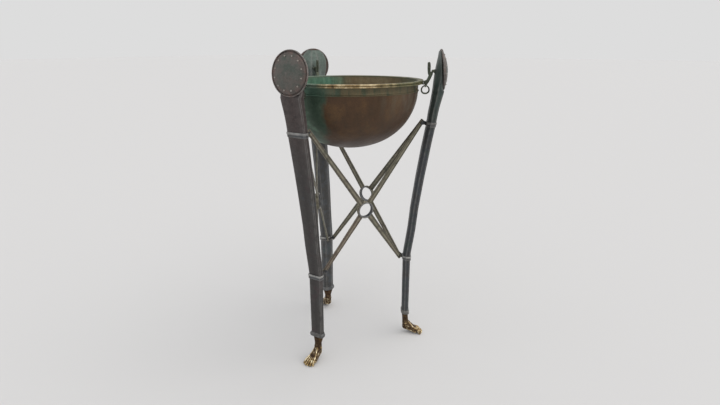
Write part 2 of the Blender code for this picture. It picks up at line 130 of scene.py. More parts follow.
def length_property(name, description, metres):
    return FloatProperty(name=name, description=description, default=metres, subtype="DISTANCE")


class BRAZIER_PG_sizes(bpy.types.PropertyGroup):
    pearl_count: IntProperty(name="Pearls", description="Pearls on each roundel", default=12, min=3, max=40)
    pearl_circle: length_property("Pearl circle", "Radius of the circle of pearls", 0.0432)
    pearl_radius: length_property("Pearl radius", "Radius of one pearl", 0.0025)
    dent_depth: length_property("Dent depth", "How far the basin's wall wanders", 0.0005)
    casting_drift: length_property("Casting drift", "How far the legs' faces wander", 0.0004)


class BRAZIER_PG_colours(bpy.types.PropertyGroup):
    dark: colour_property("Dark bronze", "Main patina of the stand", "454241")
    blue: colour_property("Blue patina", "Cool patches of the stand", "474b51")
    plum: colour_property("Plum patina", "Warm patches of the stand", "4c4142")
    green: colour_property("Green patina", "Verdigris on the stand", "3d4843")
    rub_and_highlight: colour_property("Rubbed edge and highlight", "Edges lightened by rubbing and painted highlight", "8c8b88")
    basin: colour_property("Basin brown", "Outside of the basin", "573f2a")
    verdigris: colour_property("Verdigris", "Green on the basin's side", "31463a")
    lip: colour_property("Lip gold", "Worn gold of the lip", "a58b60")
    inside: colour_property("Inside green", "Green inside the basin", "5a8a73")
    gold: colour_property("Foot gold", "Rubbed gold of the feet", "c9a869")


# ---------------------------------------------------------------- frames and pieces


def leg_frame(letter):
    """Local X points outward, Y sideways and Z up, with the origin on the axis at the arches of the feet."""
    return Matrix.Translation((0.0, AXIS_Y, ARCH)) @ Matrix.Rotation(TURN[letter] - pi / 2, 4, "Z")


def strut_points(pair):
    """Upper pivots of both struts, then their lower pivots, the crossing and the normal of their plane."""
    found = []
    for radius, height in (UPPER_PIVOT, LOWER_PIVOT):
        for letter, side in ((pair[0], 1), (pair[1], -1)):
            found.append(leg_frame(letter) @ Vector((radius, side * PIVOT_SPREAD, height)))
    upper_1, upper_2, lower_1, lower_2 = found
    normal = (lower_2 - upper_1).cross(lower_1 - upper_2).normalized()
    if normal.dot(upper_1 + upper_2 - 2 * Vector((0, AXIS_Y, upper_1.z))) < 0:
        normal = -normal
    top, bottom = (upper_2 - upper_1).length, (lower_2 - lower_1).length
    centre = upper_1 + (lower_2 - upper_1) * (top / (top + bottom))
    return upper_1, upper_2, lower_1, lower_2, centre, normal


def frame_at(origin, along, normal):
    rotation = Matrix((along, normal.cross(along), normal)).transposed().to_4x4()
    return Matrix.Translation(origin) @ rotation


def linked(name, data):
    """A new object in the scene that holds this data."""
    obj = bpy.data.objects.new(name, data)
    bpy.context.scene.collection.objects.link(obj)
    return obj


def rubbing_and_light_layer(bm):
    return bm.verts.layers.float.get("wear") or bm.verts.layers.float.new("wear")


def mirrored(half):
    """A closed profile of (radius, height, amount of rubbing and painted light) points, from the half above
    its middle.
    """
    return half + [(radius, -height, wear) for radius, height, wear in reversed(half)]


def absorb(bm, mesh):
    """Takes a mesh into the bmesh and removes it."""
    bm.from_mesh(mesh)
    bpy.data.meshes.remove(mesh)


def finished(bm, name, sharp_degrees):
    """A closed mesh with outward faces, smooth except across sharp corners."""
    bmesh.ops.remove_doubles(bm, verts=bm.verts, dist=1e-6)
    bmesh.ops.recalc_face_normals(bm, faces=bm.faces)
    mesh = bpy.data.meshes.new(name)
    bm.to_mesh(mesh)
    bm.free()
    mesh.shade_smooth()
    mesh.set_sharp_from_angle(angle=radians(sharp_degrees))
    return mesh


def place(name, mesh, material, body, nodes):
    """Links a finished mesh as a piece that rides on a body and stands for the nodes named."""
    mesh.materials.clear()
    mesh.materials.append(material)
    obj = linked(name, mesh)
    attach(obj, body)
    if nodes:
        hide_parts(*nodes)
    return obj


def place_turned(kind, letter, mesh, matrix, material, body):
    """Places a copy of the mesh, turned into its place, for the node of this kind on this leg."""
    name = f"{kind}_{letter}"
    copy = mesh.copy()
    copy.name = name
    copy.transform(matrix)
    place(f"{kind}_piece_{letter}", copy, material, body, [name])


def baked(obj):
    """The object's evaluated mesh, with its modifiers taken in. The object is removed."""
    bpy.context.view_layer.update()
    mesh = bpy.data.meshes.new_from_object(obj.evaluated_get(bpy.context.evaluated_depsgraph_get()))
    obj.modifiers.clear()
    bpy.data.objects.remove(obj)
    return mesh


def add_rings(bm, rings, closed=False, worn=None):
    """Skins rings of points. Ends are capped unless closed. The last argument gives each point's amount of
    rubbing and painted highlight, from 0 to 1.
    """
    layer = rubbing_and_light_layer(bm)
    rows = []
    for ring in rings:
        row = [bm.verts.new(point) for point in ring]
        for vert, amount in zip(row, worn or [0.0] * len(row)):
            vert[layer] = amount
        rows.append(row)
    pairs = list(zip(rows, rows[1:])) + ([(rows[-1], rows[0])] if closed else [])
    count = len(rows[0])
    for low, high in pairs:
        for i in range(count):
            j = (i + 1) % count
            bm.faces.new((low[i], low[j], high[j], high[i]))
    if not closed:
        bm.faces.new(rows[0][::-1])
        bm.faces.new(rows[-1])
    return rows


def add_lathe(bm, profile, segments, matrix=Matrix.Identity(4), closed=False):
    """Turns (radius, height, amount of rubbing and painted light) points round Z. A radius of zero makes a
    pole.
    """
    layer = rubbing_and_light_layer(bm)
    columns = []
    for radius, height, wear in profile:
        if radius < 1e-9:
            column = [bm.verts.new(matrix @ Vector((0, 0, height)))] * segments
        else:
            turns = [2 * pi * i / segments for i in range(segments)]
            circle = [Vector((radius * cos(turn), radius * sin(turn), height)) for turn in turns]
            column = [bm.verts.new(matrix @ point) for point in circle]
        for vert in column:
            vert[layer] = wear
        columns.append(column)
    pairs = list(zip(columns, columns[1:])) + ([(columns[-1], columns[0])] if closed else [])
    for low, high in pairs:
        for i in range(segments):
            j = (i + 1) % segments
            corners = list(dict.fromkeys((low[i], low[j], high[j], high[i])))
            if len(corners) > 2:
                bm.faces.new(corners)


def add_sweep(bm, path, matrix=Matrix.Identity(4), sides=16, squareness=3.0):
    """Sweeps a rounded section along points in XZ, each (x, z, width along Y, thickness)."""
    rings = []
    for index, (x, z, width, thick) in enumerate(path):
        before, after = path[max(index - 1, 0)], path[min(index + 1, len(path) - 1)]
        along = Vector((after[0] - before[0], 0, after[1] - before[1])).normalized()
        across = Vector((along.z, 0, -along.x))
        ring = []
        for k in range(sides):
            c, s = cos(2 * pi * k / sides), sin(2 * pi * k / sides)
            swell = (abs(c) ** squareness + abs(s) ** squareness) ** (-1 / squareness)
            point = Vector((x, s * swell * width / 2, z)) + across * (c * swell * thick / 2)
            ring.append(matrix @ point)
        rings.append(ring)
    add_rings(bm, rings)


def slab(outline, holes, thickness, edge, matrix):
    """A plate in XY with round holes (x, y, radius) and softened edges, as a mesh."""
    curve = bpy.data.curves.new("slab", "CURVE")
    curve.dimensions, curve.fill_mode = "2D", "BOTH"
    curve.extrude, curve.bevel_depth, curve.bevel_resolution = thickness / 2 - edge, edge, 1
    curve.offset = -edge
    turn = [2 * pi * i / 28 for i in range(28)]
    loops = [outline] + [[(x + r * cos(a), y + r * sin(a)) for a in turn] for x, y, r in holes]
    for loop in loops:
        spline = curve.splines.new("POLY")
        spline.points.add(len(loop) - 1)
        for point, (x, y) in zip(spline.points, loop):
            point.co = (x, y, 0.0, 1.0)
        spline.use_cyclic_u = True
    mesh = baked(linked("slab", curve))
    mesh.transform(matrix)
    bpy.data.curves.remove(curve)
    return mesh


def smooth_table(rows, height, reach=0.006):
    """The row of a table at this height, averaged over a short reach so that bends are soft."""

    def at(level):
        level = min(max(level, rows[0][0]), rows[-1][0])
        for low, high in zip(rows, rows[1:]):
            if level <= high[0]:
                share = (level - low[0]) / (high[0] - low[0])
                return [a + share * (b - a) for a, b in zip(low[1:], high[1:])]

    samples = [at(height + reach * step) for step in (-1, -0.5, 0, 0.5, 1)]
    return [sum(column) / len(samples) for column in zip(*samples)]


def leg_corners(inner, outer, width, edge=None, flat=None):
    """Eight corners in XY: a flat front with small chamfers, and a back with wide ones."""
    depth, side = outer - inner, width / 2
    front = min(0.0025, depth * 0.2)
    edge = 0.60 * depth if edge is None else edge
    flat = side - 0.45 * depth if flat is None else flat
    half = [(outer, side - front), (outer - front, side), (outer - edge, side), (inner, flat)]
    return half + [(x, -y) for x, y in reversed(half)]


def rounded_section(corners, radius, steps=3):
    """The corners with fillets, and how much rubbing and painted highlight each point takes: most in the
    middle of a fillet.
    """
    points, worn = [], []
    count = len(corners)
    for i in range(count):
        here = Vector(corners[i])
        before, after = Vector(corners[i - 1]) - here, Vector(corners[(i + 1) % count]) - here
        start = here + before.normalized() * min(radius, before.length * 0.35)
        end = here + after.normalized() * min(radius, after.length * 0.35)
        for step in range(steps + 1):
            t = step / steps
            points.append((1 - t) ** 2 * start + 2 * t * (1 - t) * here + t * t * end)
            worn.append(1.0 if 0 < step < steps else 0.25)
        points.append((end + Vector(corners[(i + 1) % count])) / 2)
        worn.append(0.0)
    return points, worn


# ---------------------------------------------------------------- materials


def put(tree, socket, value):
    """Links another node's output to a socket, or sets its value. A hex colour is turned linear."""
    if isinstance(value, bpy.types.NodeSocket):
        tree.links.new(value, socket)
    elif socket.type == "RGBA" and isinstance(value, str):
        socket.default_value = linear(value)
    else:
        socket.default_value = value


def add_node(tree, kind, inputs=None, **settings):
    """Adds a node with its settings. An input takes a value, or another node's output to link."""
    made = tree.nodes.new(kind)
    for key, value in settings.items():
        setattr(made, key, value)
    for key, value in (inputs or {}).items():
        put(tree, made.inputs[key], value)
    return made


def first_output(tree, kind, inputs=None, **settings):
    return add_node(tree, kind, inputs, **settings).outputs[0]


def ramp(tree, source, stops):
    """A colour ramp over (position, colour) stops."""
    made = add_node(tree, "ShaderNodeValToRGB", {"Fac": source})
    band = made.color_ramp
    while len(band.elements) < len(stops):
        band.elements.new(0.5)
    for element, (position, colour) in zip(band.elements, stops):
        element.position, element.color = position, linear(colour) if isinstance(colour, str) else colour
    return made.outputs["Color"]


def blend(tree, amount, first, second, kind="MIX"):
    inputs = {0: amount, 6: first, 7: second}
    return add_node(tree, "ShaderNodeMix", inputs, data_type="RGBA", blend_type=kind).outputs[2]


def measure(tree, operation, first, second, clamp=False):
    return first_output(tree, "ShaderNodeMath", {0: first, 1: second}, operation=operation, use_clamp=clamp)


def times(tree, first, second):
    return measure(tree, "MULTIPLY", first, second)


def attribute(tree, name, kind="FLOAT"):
    """A float or vector attribute of a geometry tree."""
    return first_output(tree, "GeometryNodeInputNamedAttribute", {"Name": name}, data_type=kind)


def painted(tree, name):
    """A float attribute of the mesh, read by a material."""
    return add_node(tree, "ShaderNodeAttribute", attribute_name=name).outputs["Fac"]


def spread(tree, source, low, high, to_low=0.0, to_high=1.0):
    """Maps a range onto another, clamped."""
    inputs = {"Value": source, "From Min": low, "From Max": high, "To Min": to_low, "To Max": to_high}
    return first_output(tree, "ShaderNodeMapRange", inputs)


def cloud(tree, place_socket, size_mm, detail=4.0, roughness=0.6, shift=0.0):
    """Noise whose patches are about this many millimetres across."""
    inputs = {"Vector": place_socket, "Location": (shift, shift * 0.7, -shift)}
    moved = first_output(tree, "ShaderNodeMapping", inputs)
    inputs = {"Vector": moved, "Scale": 1000.0 / size_mm, "Detail": detail, "Roughness": roughness}
    return add_node(tree, "ShaderNodeTexNoise", inputs).outputs["Fac"]


def height_of(tree, where):
    return add_node(tree, "ShaderNodeSeparateXYZ", {"Vector": where}).outputs["Z"]


def start_material(name, metallic):
    """A Principled material's tree, its shader and its Object coordinates."""
    material = bpy.data.materials.new(name)
    material.use_nodes = True
    tree = material.node_tree
    shader = tree.nodes["Principled BSDF"]
    shader.inputs["Metallic"].default_value = metallic
    where = add_node(tree, "ShaderNodeTexCoord").outputs["Object"]
    return tree, shader, where


def dress(tree, shader, colour, roughness, bumps):
    """Sets the colour and roughness, and chains bumps of (height, distance in metres, strength)."""
    put(tree, shader.inputs["Base Color"], colour)
    put(tree, shader.inputs["Roughness"], roughness)
    normal = None
    for height, distance, strength in bumps:
        inputs = {"Height": height, "Distance": distance, "Strength": strength}
        if normal is not None:
            inputs["Normal"] = normal
        normal = add_node(tree, "ShaderNodeBump", inputs).outputs["Normal"]
    put(tree, shader.inputs["Normal"], normal)


def grained(tree, where, colour, size_mm, shift, amount=0.75, tints=("9a9a9a", "f2f2f2")):
    """Darkens a colour with fine grain. Gives the colour and the grain."""
    grain = cloud(tree, where, size_mm, 6.0, 0.7, shift)
    grey = ramp(tree, grain, [(0.3, tints[0]), (0.7, tints[1])])
    return blend(tree, amount, colour, grey, "MULTIPLY"), grain


def cast_bronze(name, tints, rub_and_highlight, wear, metallic, shift, gloss, upper):
    """Cast bronze with an old patina: cloudy browns and blues, a pitted skin, and pale edges, partly bare
    metal from rubbing and partly painted highlight.
    """
    tree, shader, where = start_material(name, metallic)
    patches = cloud(tree, where, 34.0, 5.0, 0.62, shift)
    colour = ramp(tree, patches, [(0.32 + 0.14 * i, tint) for i, tint in enumerate(tints)])
    if upper:
        # The patina changes with height, with a broken border.
        low, high, tint = upper
        hollow = [value * 0.5 for value in linear(tint)[:3]] + [1.0]
        height = height_of(tree, where)
        level = measure(tree, "ADD", height, spread(tree, patches, 0.3, 0.7, -0.05, 0.05))
        tint = ramp(tree, cloud(tree, where, 13.0, 5.0, 0.65, shift + 6.0), [(0.3, hollow), (0.55, tint)])
        colour = blend(tree, spread(tree, level, low, high, 0.0, 0.85), colour, tint)
    colour, grain = grained(tree, where, colour, 3.5, shift + 1.0)
    # Dust and lime caught in the pits show as pale specks about 2 mm across.
    specks = spread(tree, cloud(tree, where, 2.2, 2.0, 0.5, shift + 2.0), 0.64, 0.76, 0.0, 0.28)
    colour = blend(tree, specks, colour, rub_and_highlight)
    # Corners take the pale colour: partly bare metal from rubbing, partly painted highlight.
    broken = spread(tree, cloud(tree, where, 14.0, 3.0, 0.55, shift + 3.0), 0.30, 0.58, 0.25, 1.0)
    rub_and_highlight_mask = times(tree, times(tree, painted(tree, "wear"), broken), wear)
    colour = blend(tree, rub_and_highlight_mask, colour, rub_and_highlight)
    rough = spread(tree, grain, 0.3, 0.7, gloss - 0.08, gloss + 0.14)
    rough = measure(tree, "SUBTRACT", rough, times(tree, rub_and_highlight_mask, 0.16), clamp=True)
    pits = cloud(tree, where, 1.6, 3.0, 0.6, shift + 4.0)
    swells = cloud(tree, where, 14.0, 2.0, 0.5, shift + 5.0)
    dress(tree, shader, colour, rough, [(swells, 0.0014, 0.45), (pits, 0.0003, 0.4)])


def roundel_bronze(name, colours):
    """Cast bronze dome: greenish grey in the middle, red-brown at the rim, and pale where it is proud,
    partly from rubbing and partly as painted highlight.
    """
    tree, shader, where = start_material(name, 0.45)
    out = painted(tree, "outward")
    patches = cloud(tree, where, 22.0, 5.0, 0.62, 2.0)
    middle = ramp(tree, patches, [(0.34, "535b53"), (0.5, "65645e"), (0.66, "706862")])
    rusty = cloud(tree, where, 16.0, 5.0, 0.65, 4.0)
    rim = ramp(tree, rusty, [(0.36, "5a534f"), (0.5, "6c605b"), (0.64, "7a625b")])
    border = measure(tree, "ADD", out, times(tree, patches, 0.5))
    colour = blend(tree, spread(tree, border, 0.86, 1.12), middle, rim)
    colour, grain = grained(tree, where, colour, 3.0, 5.0)
    # The proud rim and middle point take the pale colour: partly rubbing, partly painted highlight.
    broken = spread(tree, cloud(tree, where, 8.0, 4.0, 0.6, 6.0), 0.34, 0.62, 0.0, 0.6)
    colour = blend(tree, times(tree, painted(tree, "wear"), broken), colour, colours.rub_and_highlight)
    swells, pits = cloud(tree, where, 11.0, 3.0, 0.55, 7.0), cloud(tree, where, 1.8, 3.0, 0.6, 8.0)
    rough = spread(tree, grain, 0.3, 0.7, 0.40, 0.56)
    dress(tree, shader, colour, rough, [(swells, 0.0014, 0.55), (pits, 0.0004, 0.5)])


def beaten_bronze(name, colours):
    """Hammered sheet bronze: brown with verdigris on one side, a gold lip, green and brown inside."""
    tree, shader, where = start_material(name, 0.5)
    middle = {0: where, 1: (0, AXIS_Y, ARCH)}
    centred = first_output(tree, "ShaderNodeVectorMath", middle, operation="SUBTRACT")
    height = height_of(tree, centred)

    def along(degrees):
        """Distance from the middle of the basin towards this bearing."""
        bearing = (cos(radians(degrees)), sin(radians(degrees)), 0)
        inputs = {0: centred, 1: bearing}
        return add_node(tree, "ShaderNodeVectorMath", inputs, operation="DOT_PRODUCT").outputs["Value"]

    # Brown metal with darker runs that follow the wall downward.
    drawn = first_output(tree, "ShaderNodeMapping", {"Vector": centred, "Scale": (1.0, 1.0, 0.22)})
    runs = cloud(tree, drawn, 24.0, 6.0, 0.65, 3.0)
    patches = cloud(tree, centred, 60.0, 6.0, 0.6, 5.0)
    brown = ramp(tree, patches, [(0.30, "4d3924"), (0.50, colours.basin), (0.70, "674c2f")])
    brown = blend(tree, spread(tree, runs, 0.50, 0.72, 0.0, 0.5), brown, "3d3427")
    brown = blend(tree, spread(tree, height, 0.68, 0.62, 0.0, 0.6), brown, "463530")
    toward_b = measure(tree, "ADD", along(30.0), spread(tree, runs, 0.3, 0.7, -0.012, 0.012))
    # Grey bloom high on the side next to leg B, and verdigris on the side away from it.
    high = spread(tree, height, 0.70, 0.765)
    bloom = times(tree, spread(tree, toward_b, 0.07, 0.19), spread(tree, runs, 0.38, 0.60))
    brown = blend(tree, times(tree, times(tree, bloom, high), 0.8), brown, "786b58")
    ragged = measure(tree, "ADD", toward_b, spread(tree, patches, 0.3, 0.7, -0.016, 0.016))
    away = spread(tree, ragged, -0.044, -0.068)
    mottled = ramp(tree, patches, [(0.35, "3c5646"), (0.52, "506655"), (0.68, "73947e")])
    colour = blend(tree, times(tree, away, 0.94), brown, mottled)
    # The sunk band and its raised line are darker and greener than the body.
    band = spread(tree, height, 0.7812, 0.7822)
    band_tint = ramp(tree, runs, [(0.35, "48523e"), (0.52, "71654a"), (0.70, "58624a")])
    band_tint = blend(tree, spread(tree, toward_b, -0.02, -0.08), band_tint, "648573")
    colour = blend(tree, times(tree, band, 0.92), colour, band_tint)
    # Handling keeps the front of the lip gold. Elsewhere it is olive and green.
    edge = painted(tree, "wear")
    lip = spread(tree, height, 0.8022, 0.8032)
    handled = times(tree, spread(tree, toward_b, -0.075, -0.035), spread(tree, toward_b, 0.15, 0.06))
    handled = times(tree, handled, spread(tree, along(-60.0), 0.03, 0.12))
    blotches = cloud(tree, centred, 16.0, 5.0, 0.65, 7.0)
    gold = ramp(tree, blotches, [(0.32, "6a5a40"), (0.48, colours.lip), (0.62, "e2cfa6")])
    olive = ramp(tree, blotches, [(0.32, "4c5440"), (0.50, "74714f"), (0.68, "948c62")])
    olive = blend(tree, spread(tree, toward_b, -0.03, -0.09), olive, "8fa694")
    colour = blend(tree, lip, colour, blend(tree, handled, olive, gold))
    # The attribute for rubbing and painted light is 1 on the two beads of the lip, and negative inside the
    # basin. The hollows between the beads are darkened as painted shade.
    groove_shade = times(tree, lip, spread(tree, edge, 0.75, 0.2))
    colour = blend(tree, times(tree, groove_shade, 0.75), colour, "3a3a2b")
    stains = cloud(tree, drawn, 30.0, 6.0, 0.62, 9.0)
    inner_tint = ramp(tree, stains, [(0.32, "5c5340"), (0.48, "857256"), (0.62, "938264")])
    damp = ramp(tree, stains, [(0.34, "4c6b59"), (0.50, colours.inside), (0.66, "8fbaa2")])
    inner_tint = blend(tree, spread(tree, toward_b, 0.0, -0.07, 0.0, 0.95), inner_tint, damp)
    inner_tint = blend(tree, spread(tree, toward_b, 0.14, 0.20, 0.0, 0.7), inner_tint, "667560")
    colour = blend(tree, spread(tree, edge, -0.2, -0.8), colour, inner_tint)
    colour, grain = grained(tree, centred, colour, 3.0, 11.0, 0.7, ("9c9c9c", "f6f6f6"))
    rough = spread(tree, grain, 0.3, 0.7, 0.44, 0.62)
    rough = measure(tree, "SUBTRACT", rough, times(tree, handled, 0.14), clamp=True)
    # Hammer marks about 12 mm across, and a fine crust of corrosion.
    inputs = {"Vector": centred, "Scale": 1000.0 / 12.0, "Smoothness": 1.0}
    marks = add_node(tree, "ShaderNodeTexVoronoi", inputs, feature="SMOOTH_F1").outputs["Distance"]
    crust = cloud(tree, centred, 1.8, 4.0, 0.65, 13.0)
    dress(tree, shader, colour, rough, [(marks, 0.0012, 0.35), (crust, 0.0004, 0.55)])


def gilded_bronze(name, gold):
    """Cast bronze with its gilt bared by rubbing: pale gold on what stands proud, partly bare gilt and
    partly painted highlight, brown in the clefts and up the ankle.
    """
    tree, shader, where = start_material(name, 0.8)
    height = height_of(tree, where)
    edge = painted(tree, "wear")
    patches = cloud(tree, where, 8.0, 5.0, 0.6, 2.0)
    # Proud parts take pale gold, partly gilt bared by rubbing and partly painted highlight; the clefts keep
    # their brown patina.
    proud = measure(tree, "ADD", edge, spread(tree, patches, 0.3, 0.7, -0.24, 0.16))
    low = spread(tree, height, ARCH + 0.030, ARCH + 0.008)
    proud = times(tree, spread(tree, proud, 0.42, 0.82), low)
    bright = ramp(tree, patches, [(0.3, "96804f"), (0.46, gold), (0.60, "f6eac8")])
    brown = ramp(tree, patches, [(0.3, "2c2018"), (0.5, "4a3828"), (0.72, "66502f")])
    colour = blend(tree, proud, brown, bright)
    swells, pits = cloud(tree, where, 5.0, 2.0, 0.5, 3.0), cloud(tree, where, 1.2, 3.0, 0.6, 4.0)
    rough = spread(tree, proud, 0.0, 1.0, 0.50, 0.24)
    dress(tree, shader, colour, rough, [(swells, 0.0006, 0.4), (pits, 0.0002, 0.4)])


# ---------------------------------------------------------------- meshes


def leg_mesh(drift):
    """The leg's bar and the tongue behind its roundel."""
    bm = bmesh.new()
    heights = [LEG_ROWS[0][0] + (LEG_ROWS[-1][0] - LEG_ROWS[0][0]) * i / 96 for i in range(97)]
    rings = []
    worn = None
    for height in heights:
        inner, outer, width = smooth_table(LEG_ROWS, height)
        section, worn = rounded_section(leg_corners(inner, outer, width), 0.0022)
        ring = []
        for x, y in section:
            sway = noise.noise(Vector((x * 30, y * 30, height * 22))) * drift
            ring.append((x + sway * 0.6, y + sway, height))
        rings.append(ring)
    # Every ring, the head's too, takes the same amounts of rubbing and painted highlight at its corners.
    steps = 24
    for step in range(1, steps + 1):
        height = HEAD_ROWS[0][0] + (HEAD_ROWS[-1][0] - HEAD_ROWS[0][0]) * (step / steps) ** 0.9
        inner, *shape = smooth_table(HEAD_ROWS, height, 0.003)
        section, _ = rounded_section(leg_corners(inner, roundel_back(height), *shape), 0.0034)
        rings.append([(x, y, height) for x, y in section])
    add_rings(bm, rings, worn=worn)
    return finished(bm, "leg", 50.0)


def roundel_back(height):
    reach = ROUNDEL_CENTRE[0] - 0.0033 / cos(ROUNDEL_TILT)
    return reach - (height - ROUNDEL_CENTRE[1]) * tan(ROUNDEL_TILT)


def roundel_level(radius):
    """Height of the roundel's dome at this radius."""
    share = min(radius / (ROUNDEL_RADIUS - 0.0036), 1.0)
    return 0.0006 + (ROUNDEL_DOME - 0.0012) * (1 - share**2) ** 0.85


def roundel_mesh():
    """Turned about Z: a raised rim, a groove inside it, a dome, and a small point in the middle."""
    rim = ROUNDEL_RADIUS - 0.0005
    profile = [(0.0, -0.0024, 0.1), (0.020, -0.0024, 0.1)]
    profile += [(rim - 0.006, -0.0026, 0.1), (rim - 0.0016, -0.0030, 0.5)]
    for step in range(9):
        turn = -pi / 2 + pi * step / 8
        profile.append((rim - 0.0016 + 0.0016 * cos(turn), 0.0002 + 0.0024 * sin(turn), 0.9))
    profile += [(rim - 0.0030, 0.0020, 0.3), (rim - 0.0036, 0.0002, 0.0), (rim - 0.0050, 0.0002, 0.0)]
    for step in range(1, 40):
        radius = (rim - 0.0052) * (1 - step / 40)
        raised = 0.0005 if 0.049 < radius < 0.0515 else 0.0
        profile.append((radius, max(roundel_level(radius), 0.0008) + raised, 0.12))
    profile += [(0.0030, ROUNDEL_DOME - 0.0008, 0.2), (0.0024, ROUNDEL_DOME - 0.0002, 0.8)]
    profile += [(0.0014, ROUNDEL_DOME + 0.0006, 1.0), (0.0, ROUNDEL_DOME + 0.0008, 1.0)]
    bm = bmesh.new()
    add_lathe(bm, profile, 96)
    outward = bm.verts.layers.float.new("outward")
    for vert in bm.verts:
        vert[outward] = vert.co.xy.length / rim
    return finished(bm, "roundel", 60.0)


def roundel_frame(letter):
    radius, height = ROUNDEL_CENTRE
    tilt = Matrix.Rotation(pi / 2 - ROUNDEL_TILT, 4, "Y")
    return leg_frame(letter) @ Matrix.Translation((radius, 0, height)) @ tilt


def start_geometry(name, numbers):
    """A tree with a geometry going in and out, and named number inputs. Gives the tree and its inputs."""
    tree = bpy.data.node_groups.new(name, "GeometryNodeTree")
    for way in ("INPUT", "OUTPUT"):
        tree.interface.new_socket("Geometry", in_out=way, socket_type="NodeSocketGeometry")
    for label, kind in numbers.items():
        tree.interface.new_socket(label, in_out="INPUT", socket_type="NodeSocket" + kind)
    return tree, add_node(tree, "NodeGroupInput").outputs


def end_geometry(tree, copies, material):
    """Makes the copies real, gives them their material and hands them out."""
    real = first_output(tree, "GeometryNodeRealizeInstances", {"Geometry": copies})
    inputs = {"Geometry": real, "Material": material}
    add_node(tree, "NodeGroupOutput", {0: first_output(tree, "GeometryNodeSetMaterial", inputs)})
    return tree


def pearl_tree(material):
    """A ring of pearls as Geometry Nodes, with named inputs for its sizes."""
    numbers = {"Pearls": "Int", "Circle radius": "Float", "Pearl radius": "Float", "Level": "Float"}
    tree, given = start_geometry("Pearl ring", numbers)
    inputs = {"Vertices": given["Pearls"], "Radius": given["Circle radius"]}
    circle = first_output(tree, "GeometryNodeMeshCircle", inputs)
    inputs = {"Segments": 20, "Rings": 12, "Radius": given["Pearl radius"]}
    ball = first_output(tree, "GeometryNodeMeshUVSphere", inputs)
    lift = first_output(tree, "ShaderNodeCombineXYZ", {"Z": given["Level"]})
    raised = first_output(tree, "GeometryNodeTransform", {"Geometry": circle, "Translation": lift})
    # Struck by hand, so no two pearls are quite the same size.
    spans = {2: 0.86, 3: 1.10, "Seed": 7}
    size = add_node(tree, "FunctionNodeRandomValue", spans, data_type="FLOAT").outputs[1]
    inputs = {"Points": raised, "Instance": ball, "Scale": size}
    return end_geometry(tree, first_output(tree, "GeometryNodeInstanceOnPoints", inputs), material)


def node_mesh(name, tree, values, start=None):
    """Runs a Geometry Nodes tree with values set by socket identifier, and returns the plain mesh."""
    host = linked(name, start or bpy.data.meshes.new(name))
    modifier = host.modifiers.new(name, "NODES")
    modifier.node_group = tree
    for item in tree.interface.items_tree:
        if item.in_out == "INPUT" and item.name in values:
            modifier[item.identifier] = values[item.name]
    mesh = baked(host)
    mesh.shade_smooth()
    return mesh


def add_sleeve(bm, profile, inner_growth, matrix=Matrix.Identity(4)):
    """A band round the leg, through (height, radial growth, sideways growth, amount of rubbing and painted
    highlight) rows.
    """
    rings, rubbing_light_rows = [], []
    for height, radial, sideways, wear in profile:
        inner, outer, width = smooth_table(LEG_ROWS, height)
        grown = leg_corners(inner - radial, outer + radial, width + 2 * sideways)
        section, edge = rounded_section(grown, 0.0026)
        rings.append([matrix @ Vector((x, y, height)) for x, y in section])
        rubbing_light_rows.append([max(wear, 0.6 * e) for e in edge])
    for height, *_ in reversed(profile):
        inner, outer, width = smooth_table(LEG_ROWS, height)
        grown = leg_corners(inner - inner_growth, outer + inner_growth, width + 2 * inner_growth)
        section, edge = rounded_section(grown, 0.0026)
        rings.append([matrix @ Vector((x, y, height)) for x, y in section])
        rubbing_light_rows.append([0.0] * len(edge))
    rows = add_rings(bm, rings, closed=True)
    layer = rubbing_and_light_layer(bm)
    for row, wear in zip(rows, rubbing_light_rows):
        for vert, amount in zip(row, wear):
            vert[layer] = amount


def lug_meshes(pivot_point, base, reach, outer_side, gap, heel):
    """The two lugs of a collar, in the leg's own frame, each beside the end of its strut."""
    radius, height = pivot_point
    meshes = []
    inverse = leg_frame("a").inverted()
    for side, pair, far in ((1, ("a", "b"), reach[0]), (-1, ("c", "a"), reach[1])):
        normal = (inverse.to_3x3() @ strut_points(pair)[5]).normalized()
        along = normal.cross(Vector((0, 0, 1))).normalized()
        along = along if along.x > 0 else -along
        up = normal.cross(along)
        up = up if up.z > 0 else -up
        origin = Vector((radius, side * PIVOT_SPREAD, height))
        origin += normal * (side * outer_side * (gap + EAR_THICKNESS / 2))
        matrix = Matrix.Translation(origin) @ Matrix((along, up, along.cross(up))).transposed().to_4x4()
        arc = [radians(90 + 180 * step / 16) for step in range(17)]
        outline = [(LUG_RADIUS * cos(a), LUG_RADIUS * sin(a)) for a in arc]
        low, high = base[0] - height, base[1] - height
        outline += [(far[0] * 0.5, heel), (far[0], low), (far[1], high)]
        outline += [(far[1] * 0.5, min(high + 0.0030, 0.0046))]
        meshes.append(slab(outline, [(0, 0, LUG_HOLE)], EAR_THICKNESS, 0.0005, matrix))
    return meshes


def upper_collar_mesh():
    """A fixed band: a bead along its top, lightened partly by rubbing and partly as painted highlight, a
    hollow under it, and two lugs.
    """
    bm = bmesh.new()
    rows = [
        (0.6768, 0.0006, 0.0006, 0.3), (0.6778, 0.0012, 0.0010, 0.6),
        (0.6800, 0.0013, 0.0011, 0.2), (0.6836, 0.0012, 0.0010, 0.1),
        (0.6848, 0.0016, 0.0013, 0.8), (0.6866, 0.0021, 0.0016, 1.0),
        (0.6890, 0.0022, 0.0016, 1.2), (0.6906, 0.0017, 0.0013, 0.9),
        (0.6912, 0.0008, 0.0008, 0.6),
    ]
    add_sleeve(bm, rows, 0.0003)
    for mesh in lug_meshes(UPPER_PIVOT, (0.6795, 0.6900), UPPER_REACH, -1, UPPER_EAR_GAP, -0.0048):
        absorb(bm, mesh)
    return finished(bm, "upper_collar", 45.0)


